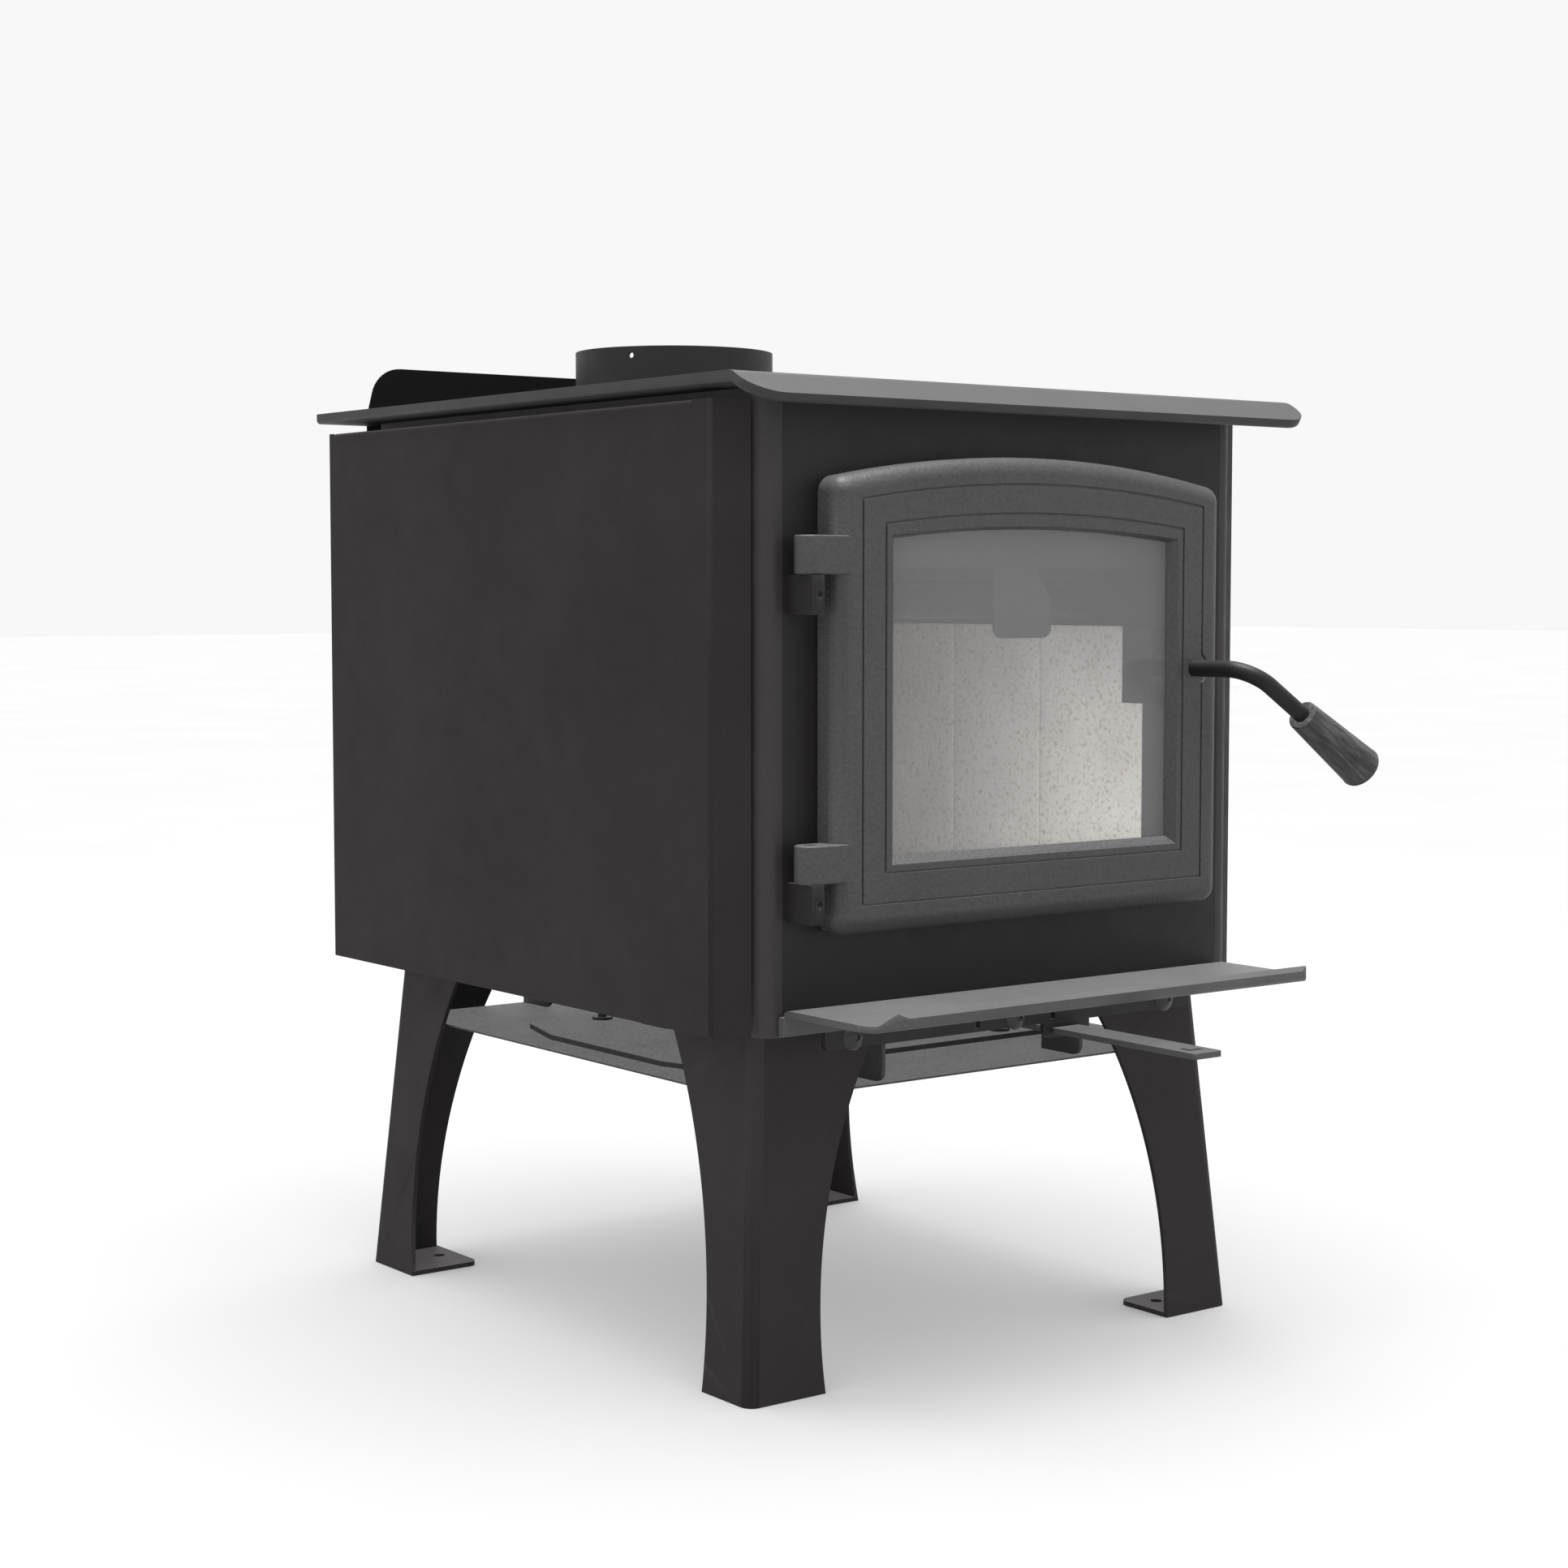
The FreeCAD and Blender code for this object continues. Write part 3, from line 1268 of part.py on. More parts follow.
def latch_finger():
    """Cam on the inner end of the spindle, hanging down when the door is free."""
    centre = Vector(handle_x, finger_front, axle_z)
    hub = rod(centre, centre + Vector(0, finger_thickness, 0), finger_hub)
    half = finger_width / 2
    arm = box(handle_x - half, handle_x + half, finger_front, finger_back,
              axle_z - finger_length + half, axle_z)
    tip_centre = centre - Vector(0, 0, finger_length - half)
    tip = rod(tip_centre, tip_centre + Vector(0, finger_thickness, 0), half)
    return fuse([hub, arm, tip]).cut(rod(centre - Vector(0, 1, 0), centre + Vector(0, finger_thickness + 1, 0),
                                         rod_radius))


def latch_sleeve():
    """Spacer between the door and the latch finger."""
    start = Vector(handle_x, door_inner_back + slide_gap, axle_z)
    end = Vector(handle_x, finger_front, axle_z)
    return rod(start, end, sleeve_radius).cut(rod(start, end, rod_radius))


def latch_nut():
    start = Vector(handle_x, finger_back, axle_z)
    nut = hex_bar(start, 2 * finger_hub * math.cos(math.radians(30)), nut_length, Vector(0, 1, 0))
    return nut.cut(rod(start - Vector(0, 1, 0), start + Vector(0, nut_length - 1, 0), rod_radius))


# ---------------------------------------------------------------- write every node
def build_nodes():
    left_wall = side_wall()
    left_panel = side_panel()
    left_riser = air_riser()
    left_bricks = side_bricks()
    left_channel = side_air_channel()
    front_leg = leg(front_leg_face, front_leg_side, (front_leg_face[0], front_foot_depth))
    rear_leg = mirror_y(leg(rear_leg_face, rear_leg_side, (rear_foot_depth, rear_leg_side[0])))
    return {
        "left_wall": left_wall,
        "right_wall": mirror_x(left_wall),
        "front_plate": front_plate(),
        "rear_wall": rear_wall(),
        "bottom_plate": bottom_plate(),
        "top_plate": top_plate(),
        "flue_collar": flue_collar(),
        "left_side_panel": left_panel,
        "right_side_panel": mirror_x(left_panel),
        "panel_brackets": panel_brackets(),
        "rear_heat_shield": rear_heat_shield(),
        "rear_shield_spacers": rear_shield_spacers(),
        "bottom_heat_shield": bottom_heat_shield(),
        "shield_hangers": shield_hangers(),
        "shield_studs": shield_studs(),
        "front_left_leg": front_leg,
        "front_right_leg": mirror_x(front_leg),
        "rear_left_leg": rear_leg,
        "rear_right_leg": mirror_x(rear_leg),
        "leg_bolts": leg_bolts(),
        "ash_lip": ash_lip(),
        "front_beam": front_beam(),
        "beam_bolts": beam_bolts(),
        "lever_guide": lever_guide(),
        "air_box": air_box(),
        "damper_guides": damper_guides(),
        "front_air_manifold": front_air_manifold(),
        "left_air_riser": left_riser,
        "right_air_riser": mirror_x(left_riser),
        "airwash_deflector": airwash_deflector(),
        "rear_air_duct": rear_air_duct(),
        "floor_bricks": floor_bricks(),
        "left_bricks": left_bricks,
        "right_bricks": mirror_x(left_bricks),
        "rear_bricks": rear_bricks(),
        "left_air_channel": left_channel,
        "right_air_channel": mirror_x(left_channel),
        "rear_air_channel": rear_air_channel(),
        "secondary_air_tubes": secondary_air_tubes(),
        "baffle_boards": baffle_boards(),
        "insulation_blanket": insulation_blanket(),
        "hinge_brackets": hinge_brackets(),
        "hinge_pins": hinge_pins(),
        "hinge_set_screws": hinge_set_screws(),
        "latch_box": latch_box(),
        "door_frame": door_frame(),
        "door_glass": door_glass(),
        "glass_gasket": glass_gasket(),
        "glass_clips": glass_clips(),
        "clip_screws": clip_screws(),
        "door_gasket": door_gasket(),
        "handle_rod": handle_rod(),
        "handle_grip": handle_grip(),
        "latch_finger": latch_finger(),
        "latch_sleeve": latch_sleeve(),
        "latch_nut": latch_nut(),
        "air_lever": air_lever(),
        "damper_plate": damper_plate(),
        "damper_rivets": damper_rivets(),
    }


for node_name, node_shape in build_nodes().items():
    node_shape.exportStep("parts/" + node_name + ".step")
    print(node_name, len(node_shape.Solids), node_shape.isValid(), round(node_shape.Volume))
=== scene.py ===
"""Looks for the wood burning stove: materials, detailed replacement pieces, floor, light, camera."""
import json
import math

import bmesh
import bpy
from mathutils import Matrix, Vector, noise


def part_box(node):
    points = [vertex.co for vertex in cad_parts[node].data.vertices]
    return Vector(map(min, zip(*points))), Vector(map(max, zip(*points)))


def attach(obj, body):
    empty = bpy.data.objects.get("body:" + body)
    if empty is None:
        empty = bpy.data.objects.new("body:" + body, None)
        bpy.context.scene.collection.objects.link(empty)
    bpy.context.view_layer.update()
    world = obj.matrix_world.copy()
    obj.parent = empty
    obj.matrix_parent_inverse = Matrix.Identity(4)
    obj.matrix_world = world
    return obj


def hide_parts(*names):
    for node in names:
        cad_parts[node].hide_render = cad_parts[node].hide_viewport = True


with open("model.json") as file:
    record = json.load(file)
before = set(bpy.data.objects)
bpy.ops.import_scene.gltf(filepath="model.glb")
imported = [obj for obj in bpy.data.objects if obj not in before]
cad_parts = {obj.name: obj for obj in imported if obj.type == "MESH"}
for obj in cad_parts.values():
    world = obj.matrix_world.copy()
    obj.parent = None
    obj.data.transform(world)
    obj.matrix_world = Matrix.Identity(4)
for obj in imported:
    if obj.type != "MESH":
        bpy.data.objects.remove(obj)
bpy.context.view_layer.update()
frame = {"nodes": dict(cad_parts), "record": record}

MM = 0.001
NODES = frame["nodes"]
JOIN_DISTANCE = 1e-6    # corners of a CAD mesh nearer than this are one corner


# ---------------------------------------------------------------- shader helpers
def start_material(name):
    """New material with its node tree and its Principled shader."""
    material = bpy.data.materials.new(name)
    material.use_nodes = True
    tree = material.node_tree
    return material, tree, tree.nodes["Principled BSDF"]


def add(tree, kind, settings=None, **inputs):
    """New node; an input given as a socket is linked, and any other value is set on the socket."""
    node = tree.nodes.new(kind)
    for key, value in (settings or {}).items():
        setattr(node, key, value)
    for key, value in inputs.items():
        socket = node.inputs[key.replace("_", " ")]
        if isinstance(value, bpy.types.NodeSocket):
            tree.links.new(value, socket)
        else:
            socket.default_value = value
    return node


def object_coordinates(tree, stretch=(1, 1, 1)):
    """Coordinates in metres that stay with the piece."""
    source = add(tree, "ShaderNodeTexCoord").outputs["Object"]
    return add(tree, "ShaderNodeMapping", Vector=source, Scale=stretch).outputs["Vector"]


def noise_field(tree, place, per_metre, detail, roughness=0.55):
    """Smooth noise with about per_metre lumps in each metre."""
    return add(tree, "ShaderNodeTexNoise", Vector=place, Scale=per_metre, Detail=detail,
               Roughness=roughness).outputs["Fac"]


def cells(tree, place, per_metre):
    """Distance to the nearest of scattered points, about per_metre of them along each metre."""
    return add(tree, "ShaderNodeTexVoronoi", Vector=place, Scale=per_metre).outputs["Distance"]


def spread(tree, value, low, high, start=0.3, stop=0.7):
    """Stretches a noise value's middle range over low to high."""
    return add(tree, "ShaderNodeMapRange", Value=value, From_Min=start, From_Max=stop, To_Min=low,
               To_Max=high).outputs["Result"]


def ramp(tree, value, stops):
    """Colour ramp from (position, colour) pairs."""
    node = add(tree, "ShaderNodeValToRGB", Fac=value)
    marks = node.color_ramp.elements
    while len(marks) < len(stops):
        marks.new(0.5)
    for mark, (position, colour) in zip(marks, stops):
        mark.position = position
        mark.color = (*colour, 1.0)
    return node.outputs["Color"]


def blend(tree, factor, first, second, kind="MIX"):
    """Colour mix; factor is a socket or a number."""
    node = tree.nodes.new("ShaderNodeMix")
    node.data_type = "RGBA"
    node.blend_type = kind
    for socket, value in ((node.inputs[0], factor), (node.inputs[6], first), (node.inputs[7], second)):
        if isinstance(value, bpy.types.NodeSocket):
            tree.links.new(value, socket)
        else:
            socket.default_value = value
    return node.outputs[2]


def bump(tree, height, depth, strength, under=None):
    """Bump of the given depth in metres, on top of another bump if one is given."""
    extra = {} if under is None else {"Normal": under}
    return add(tree, "ShaderNodeBump", Height=height, Distance=depth, Strength=strength,
               **extra).outputs["Normal"]


def shade(colour, factor):
    """The colour made darker or lighter."""
    return tuple(channel * factor for channel in colour)


def link(tree, output, shader, name):
    """Feeds a socket into the shader's input of that name."""
    tree.links.new(output, shader.inputs[name])


# ---------------------------------------------------------------- materials
PAINT_GRAIN = 850.0
PAINT_GRAIN_DEPTH = 0.00006
PAINT_MOTTLE = 0.10
GRIP_SLOPE = 32.5       # degrees that the wooden grip points below the horizontal


def painted_steel(name, colour, gloss=(0.42, 0.58), sheen=0.25):
    """Baked stove paint: fine grain, soft large mottling, slightly uneven sheen."""
    material, tree, shader = start_material(name)
    place = object_coordinates(tree)
    broad = noise_field(tree, place, 9.0, 4.0)
    fine = noise_field(tree, place, PAINT_GRAIN, 2.0)
    smudge = noise_field(tree, place, 38.0, 5.0, 0.65)
    tone = ramp(tree, broad, [(0.3, shade(colour, 1 - PAINT_MOTTLE)), (0.7, shade(colour, 1 + PAINT_MOTTLE))])
    speck = ramp(tree, fine, [(0.35, (0.9, 0.9, 0.9)), (0.65, (1.0, 1.0, 1.0))])
    link(tree, blend(tree, 1.0, tone, speck, "MULTIPLY"), shader, "Base Color")
    link(tree, spread(tree, smudge, *gloss), shader, "Roughness")
    waves = bump(tree, broad, 0.0004, 0.25)
    link(tree, bump(tree, fine, PAINT_GRAIN_DEPTH, 0.6, waves), shader, "Normal")
    shader.inputs["Specular IOR Level"].default_value = sheen
    return material


def cast_iron(name, colour):
    """Sand-cast surface under stove paint: rounded pebbling with fine grit on top."""
    material, tree, shader = start_material(name)
    place = object_coordinates(tree)
    pebble = noise_field(tree, place, 330.0, 2.0, 0.5)
    grit = noise_field(tree, place, 1400.0, 2.0)
    broad = noise_field(tree, place, 12.0, 4.0)
    tone = ramp(tree, broad, [(0.3, shade(colour, 0.93)), (0.7, shade(colour, 1.07))])
    pits = ramp(tree, pebble, [(0.3, (0.86, 0.86, 0.86)), (0.6, (1.0, 1.0, 1.0))])
    link(tree, blend(tree, 1.0, tone, pits, "MULTIPLY"), shader, "Base Color")
    link(tree, spread(tree, grit, 0.44, 0.6), shader, "Roughness")
    rough = bump(tree, pebble, 0.0007, 0.55)
    link(tree, bump(tree, grit, 0.00006, 0.5, rough), shader, "Normal")
    shader.inputs["Specular IOR Level"].default_value = 0.3
    return material


def firebrick(name):
    """Light insulating brick: warm grey, speckled with dark and pale grains, finely pitted."""
    material, tree, shader = start_material(name)
    place = object_coordinates(tree)
    broad = noise_field(tree, place, 16.0, 6.0, 0.6)
    grains = cells(tree, place, 380.0)
    dark = noise_field(tree, place, 300.0, 3.0, 0.7)
    body = ramp(tree, broad, [(0.3, (0.255, 0.243, 0.226)), (0.7, (0.31, 0.300, 0.283))])
    pale = ramp(tree, grains, [(0.08, (1.25, 1.24, 1.2)), (0.22, (1.0, 1.0, 1.0))])
    spots = ramp(tree, dark, [(0.34, (0.55, 0.50, 0.44)), (0.47, (1.0, 1.0, 1.0))])
    speckled = blend(tree, 1.0, blend(tree, 1.0, body, pale, "MULTIPLY"), spots, "MULTIPLY")
    link(tree, speckled, shader, "Base Color")
    link(tree, spread(tree, dark, 0.82, 0.95), shader, "Roughness")
    pits = bump(tree, grains, 0.0005, 0.25)
    link(tree, bump(tree, dark, 0.0005, 0.3, pits), shader, "Normal")
    return material


def pressed_board(name, colour):
    """Refractory board: matted short fibres with a faint felt pattern."""
    material, tree, shader = start_material(name)
    long_fibre = noise_field(tree, object_coordinates(tree, (1.0, 7.0, 7.0)), 90.0, 5.0, 0.7)
    cross_fibre = noise_field(tree, object_coordinates(tree, (7.0, 1.0, 7.0)), 90.0, 5.0, 0.7)
    along = ramp(tree, long_fibre, [(0.3, shade(colour, 0.7)), (0.7, shade(colour, 1.2))])
    across = ramp(tree, cross_fibre, [(0.3, shade(colour, 0.75)), (0.7, shade(colour, 1.15))])
    link(tree, blend(tree, 0.5, along, across), shader, "Base Color")
    link(tree, spread(tree, cross_fibre, 0.85, 1.0), shader, "Roughness")
    matted = bump(tree, long_fibre, 0.0008, 0.5)
    link(tree, bump(tree, cross_fibre, 0.0008, 0.5, matted), shader, "Normal")
    return material


def rope_fibre(name, colour):
    """Glass-fibre yarn: fine filaments along the strand, slightly sooty."""
    material, tree, shader = start_material(name)
    place = object_coordinates(tree)
    filament = noise_field(tree, place, 1500.0, 3.0, 0.7)
    soot = noise_field(tree, place, 45.0, 4.0)
    tone = ramp(tree, soot, [(0.3, shade(colour, 0.6)), (0.7, shade(colour, 1.25))])
    yarn = ramp(tree, filament, [(0.3, (0.6, 0.6, 0.6)), (0.7, (1.15, 1.15, 1.15))])
    link(tree, blend(tree, 1.0, tone, yarn, "MULTIPLY"), shader, "Base Color")
    link(tree, spread(tree, filament, 0.75, 0.95), shader, "Roughness")
    link(tree, bump(tree, filament, 0.0003, 0.7), shader, "Normal")
    return material


def grain_coordinates(tree, slope, stretch):
    """Object coordinates turned by slope degrees, to run along a piece, and stretched that way."""
    source = add(tree, "ShaderNodeTexCoord").outputs["Object"]
    return add(tree, "ShaderNodeMapping", {"vector_type": "TEXTURE"}, Vector=source,
               Rotation=(0.0, math.radians(slope), 0.0), Scale=(stretch, 1.0, 1.0)).outputs["Vector"]


def stained_wood(name, slope):
    """Black-stained turned wood: long grain streaks, open pores, a dull polish."""
    material, tree, shader = start_material(name)
    streak = noise_field(tree, grain_coordinates(tree, slope, 14.0), 420.0, 6.0, 0.7)
    figure = noise_field(tree, grain_coordinates(tree, slope, 4.5), 130.0, 4.0, 0.6)
    pores = noise_field(tree, grain_coordinates(tree, slope, 8.0), 1500.0, 2.0)
    grain = ramp(tree, streak, [(0.32, (0.014, 0.0135, 0.0135)), (0.5, (0.048, 0.047, 0.047)),
                                (0.68, (0.095, 0.094, 0.093))])
    shadow = ramp(tree, figure, [(0.35, (0.55, 0.55, 0.55)), (0.62, (1.1, 1.1, 1.1))])
    link(tree, blend(tree, 1.0, grain, shadow, "MULTIPLY"), shader, "Base Color")
    link(tree, spread(tree, figure, 0.5, 0.7), shader, "Roughness")
    shader.inputs["Specular IOR Level"].default_value = 0.25
    grooves = bump(tree, streak, 0.0005, 0.5)
    link(tree, bump(tree, pores, 0.00015, 0.5, grooves), shader, "Normal")
    return material


def clear_glass(name):
    """Ceramic glass with a thin even film of haze and faint wipe marks."""
    material, tree, shader = start_material(name)
    wipe = noise_field(tree, object_coordinates(tree, (1.0, 1.0, 3.0)), 11.0, 3.0)
    film = noise_field(tree, object_coordinates(tree), 6.0, 2.0)
    haze = ramp(tree, film, [(0.3, (0.27, 0.27, 0.27)), (0.7, (0.29, 0.29, 0.29))])
    link(tree, haze, shader, "Base Color")
    link(tree, spread(tree, wipe, 0.05, 0.12), shader, "Roughness")
    link(tree, spread(tree, film, 0.265, 0.28), shader, "Alpha")
    return material


def dark_metal(name, colour, metallic, gloss=(0.3, 0.5)):
    """Blackened or heat-darkened steel with patchy oxide and fine brushing."""
    material, tree, shader = start_material(name)
    place = object_coordinates(tree)
    patch = noise_field(tree, place, 60.0, 6.0, 0.65)
    brush = noise_field(tree, object_coordinates(tree, (1.0, 1.0, 9.0)), 600.0, 2.0)
    warm = (colour[0] * 1.35, colour[1] * 1.2, colour[2])
    tone = ramp(tree, patch, [(0.32, shade(colour, 0.75)), (0.55, colour), (0.72, warm)])
    link(tree, tone, shader, "Base Color")
    link(tree, spread(tree, patch, *gloss), shader, "Roughness")
    link(tree, bump(tree, brush, 0.00004, 0.4), shader, "Normal")
    shader.inputs["Metallic"].default_value = metallic
    return material


def hammered_sheet(name, colour):
    """Heat-shield sheet: dull bare steel with a mottled, faintly spangled face and fine dark speckles of
    painted shade.
    """
    material, tree, shader = start_material(name)
    place = object_coordinates(tree)
    spangle = cells(tree, place, 240.0)
    broad = noise_field(tree, place, 26.0, 5.0, 0.7)
    fine = noise_field(tree, place, 520.0, 3.0, 0.6)
    tone = ramp(tree, broad, [(0.3, shade(colour, 0.82)), (0.7, shade(colour, 1.15))])
    # Fine dark speckles: painted speckled shade.
    marks = ramp(tree, fine, [(0.36, (0.62, 0.62, 0.62)), (0.52, (1.0, 1.0, 1.0))])
    link(tree, blend(tree, 1.0, tone, marks, "MULTIPLY"), shader, "Base Color")
    link(tree, spread(tree, spangle, 0.5, 0.72, 0.1, 0.6), shader, "Roughness")
    link(tree, bump(tree, fine, 0.00015, 0.5), shader, "Normal")
    return material


def studio_floor(name):
    """Pale matt floor with the faintest unevenness."""
    material, tree, shader = start_material(name)
    place = object_coordinates(tree)
    broad = noise_field(tree, place, 1.6, 3.0)
    tone = ramp(tree, broad, [(0.3, (0.87, 0.87, 0.87)), (0.7, (0.90, 0.90, 0.90))])
    link(tree, tone, shader, "Base Color")
    link(tree, spread(tree, broad, 0.82, 0.9), shader, "Roughness")
    return material


MATERIALS = {
    # front_paint, top_paint, shelf_paint, panel_paint, wall_paint and leg_paint are lit and shaded copies of
    # one black stove paint: the front is darker as painted shade under the top and shelf, the top and shelf
    # are lighter as painted light from above, and the side panels, rounded wall corners and legs are lighter
    # as painted light.
    "front_paint": painted_steel("front_paint", (0.0132, 0.0115, 0.0118)),
    "top_paint": painted_steel("top_paint", (0.033, 0.033, 0.033), (0.5, 0.62)),
    "shelf_paint": painted_steel("shelf_paint", (0.066, 0.066, 0.066), (0.5, 0.62)),
    "flue_paint": painted_steel("flue_paint", (0.020, 0.0190, 0.0194)),
    "panel_paint": painted_steel("panel_paint", (0.0265, 0.0232, 0.0240), sheen=0.04),
    "wall_paint": painted_steel("wall_paint", (0.0290, 0.0262, 0.0265)),
    "leg_paint": painted_steel("leg_paint", (0.0250, 0.0224, 0.0232), sheen=0.05),
    "shield_sheet": hammered_sheet("shield_sheet", (0.027, 0.027, 0.027)),
    "rear_shield_paint": painted_steel("rear_shield_paint", (0.009, 0.0086, 0.0084), (0.6, 0.75), sheen=0.04),
    # duct is near black as painted shade on the air ducting inside the stove.
    "duct": dark_metal("duct", (0.006, 0.0059, 0.0058), 0.0, (0.7, 0.85)),
    "deflector": dark_metal("deflector", (0.042, 0.0415, 0.041), 0.0, (0.6, 0.8)),
    "fastener": dark_metal("fastener", (0.022, 0.0215, 0.021), 0.3),
    "brick": firebrick("brick"),
    # baffle and fibre_blanket are near black as painted shade inside the stove.
    "baffle": pressed_board("baffle", (0.022, 0.021, 0.020)),
    "fibre_blanket": pressed_board("fibre_blanket", (0.030, 0.029, 0.028)),
    "casting": cast_iron("casting", (0.050, 0.049, 0.050)),
    "glass_pane": clear_glass("glass_pane"),
    "rope": rope_fibre("rope", (0.09, 0.088, 0.085)),
    "handle_paint": painted_steel("handle_paint", (0.012, 0.0113, 0.0115), (0.45, 0.6), sheen=0.2),
    "wood": stained_wood("wood", GRIP_SLOPE),
    # lever_paint is lighter than the stove paint as painted light from above on the lever's top.
    "lever_paint": painted_steel("lever_paint", (0.060, 0.060, 0.060)),
}

# The finish of each material slot in the record, and of the nodes that differ from their slot; the leg, wall
# and shelf paints differ from the stove paint only in being lighter, as painted light.
SLOT_MATERIAL = {
    "firebox_steel": "front_paint", "top_steel": "top_paint", "flue_steel": "flue_paint",
    "panel_steel": "panel_paint", "shield_steel": "shield_sheet", "duct_steel": "duct",
    "fastener_steel": "fastener", "firebrick": "brick", "baffle_board": "baffle",
    "blanket": "fibre_blanket", "cast_iron": "casting", "glass": "glass_pane", "rope_seal": "rope",
    "handle_steel": "handle_paint", "grip_wood": "wood", "lever_steel": "lever_paint",
}
NODE_MATERIAL = {
    "airwash_deflector": "deflector", "rear_heat_shield": "rear_shield_paint",
    "front_left_leg": "leg_paint", "front_right_leg": "leg_paint",
    "rear_left_leg": "leg_paint", "rear_right_leg": "leg_paint",
    "left_wall": "wall_paint", "right_wall": "wall_paint", "ash_lip": "shelf_paint",
}


def paint(piece, name):
    """Gives a piece one material in place of those it has."""
    piece.data.materials.clear()
    piece.data.materials.append(MATERIALS[name])


for part in frame["record"]["subparts"]:
    node = part["node"]
    paint(NODES[node], NODE_MATERIAL.get(node, SLOT_MATERIAL[part["material_slot"]]))


# ---------------------------------------------------------------- mesh helpers
EDGE_STOP = 0.35        # share of a rounded edge where its one extra grid line lies


def new_piece(name, mesh_data, body, slot, material, *stands_for):
    """Links a bmesh as a finished piece that rides on a body."""
    mesh = bpy.data.meshes.new(name)
    mesh_data.to_mesh(mesh)
    mesh_data.free()
    piece = bpy.data.objects.new(name, mesh)
    bpy.context.scene.collection.objects.link(piece)
    for face in mesh.polygons:
        face.use_smooth = True
    paint(piece, material)
    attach(piece, body)
    if stands_for:
        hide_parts(*stands_for)
    return piece


def welded_copy(node):
    """The node's mesh as a bmesh whose split corners are joined again."""
    copy = bmesh.new()
    copy.from_mesh(NODES[node].data)
    bmesh.ops.remove_doubles(copy, verts=copy.verts, dist=JOIN_DISTANCE)
    return copy


def solid_boxes(node):
    """Lowest and highest corner of each separate solid in a node, in a fixed order."""
    copy = welded_copy(node)
    waiting = set(copy.verts)
    boxes = []
    while waiting:
        group = [waiting.pop()]
        for vert in group:
            for edge in vert.link_edges:
                other = edge.other_vert(vert)
                if other in waiting:
                    waiting.remove(other)
                    group.append(other)
        spots = [vert.co for vert in group]
        low = Vector([min(spot[axis] for spot in spots) for axis in range(3)])
        high = Vector([max(spot[axis] for spot in spots) for axis in range(3)])
        boxes.append((low, high))
    copy.free()
    return sorted(boxes, key=lambda pair: tuple(round(value, 5) for value in pair[0]))


def grid_stops(start, end, edge, step):
    """Positions from start to end: close together at both ends, evenly spaced between."""
    count = max(1, round((end - start - 2 * edge) / step))
    middle = [start + edge + (end - start - 2 * edge) * index / count for index in range(count + 1)]
    return [start, start + edge * EDGE_STOP] + middle + [end - edge * EDGE_STOP, end]


def gridded_box(low, high, edge, step):
    """Closed box whose faces are grids, as a bmesh."""
    mesh = bmesh.new()
    stops = [grid_stops(low[axis], high[axis], edge, step) for axis in range(3)]
    made = {}

    def vert(spot):
        key = tuple(round(value, 7) for value in spot)
        if key not in made:
            made[key] = mesh.verts.new(spot)
        return made[key]

    for axis in range(3):
        across, up = (axis + 1) % 3, (axis + 2) % 3
        for level, outward in ((low[axis], False), (high[axis], True)):
            for a in range(len(stops[across]) - 1):
                for b in range(len(stops[up]) - 1):
                    corners = []
                    for i, j in ((a, b), (a + 1, b), (a + 1, b + 1), (a, b + 1)):
                        spot = [0.0, 0.0, 0.0]
                        spot[axis] = level
                        spot[across] = stops[across][i]
                        spot[up] = stops[up][j]
                        corners.append(vert(spot))
                    mesh.faces.new(corners if outward else corners[::-1])
    return mesh


def soften_box(mesh, low, high, radius):
    """Rounds a box's edges by pulling its outer layer onto a rounded shell."""
    for vert in mesh.verts:
        core = Vector([min(max(vert.co[axis], low[axis] + radius), high[axis] - radius) for axis in range(3)])
        vert.co = core + (vert.co - core).normalized() * radius


def tube_rings(mesh, rings, closed):
    """Skins a list of vertex rings into a tube, closed on itself or capped."""
    count = len(rings[0])
    pairs = len(rings) if closed else len(rings) - 1
    for index in range(pairs):
        here, there = rings[index], rings[(index + 1) % len(rings)]
        for side in range(count):
            after = (side + 1) % count
            mesh.faces.new((here[side], here[after], there[after], there[side]))
    if not closed:
        mesh.faces.new(rings[0][::-1])
        mesh.faces.new(rings[-1])


# ---------------------------------------------------------------- firebricks
BRICK_ROUND = 0.4 * MM
BRICK_STEP = 7.0 * MM
BRICK_WARP = 0.25 * MM
BRICK_WARPS_PER_METRE = 60.0
BRICK_CHIP = 0.7 * MM
BRICK_CHIPS_PER_METRE = 95.0
CHIP_START = 0.18       # noise value above which an edge is chipped
CHIP_GAIN = 1.6
WORN_BAND = 4 * MM      # distance from an edge that wear reaches


def worn_brick(mesh, low, high):
    """Rounds, warps and chips one brick; every change is inwards, so that it stays in its place."""
    soften_box(mesh, low, high, BRICK_ROUND)
    centre = (low + high) / 2
    half = (high - low) / 2
    for vert in mesh.verts:
        offset = vert.co - centre
        depths = [half[axis] - abs(offset[axis]) for axis in range(3)]
        edge_share = max(0.0, 1.0 - sorted(depths)[1] / WORN_BAND)
        rough = max(0.0, noise.noise(vert.co * BRICK_CHIPS_PER_METRE) - CHIP_START)
        warp = BRICK_WARP * (0.5 + 0.5 * noise.noise(vert.co * BRICK_WARPS_PER_METRE))
        shrink = warp + BRICK_CHIP * edge_share * rough * CHIP_GAIN
        vert.co -= Vector([math.copysign(shrink, offset[axis]) if depths[axis] < WORN_BAND else 0.0
                           for axis in range(3)])


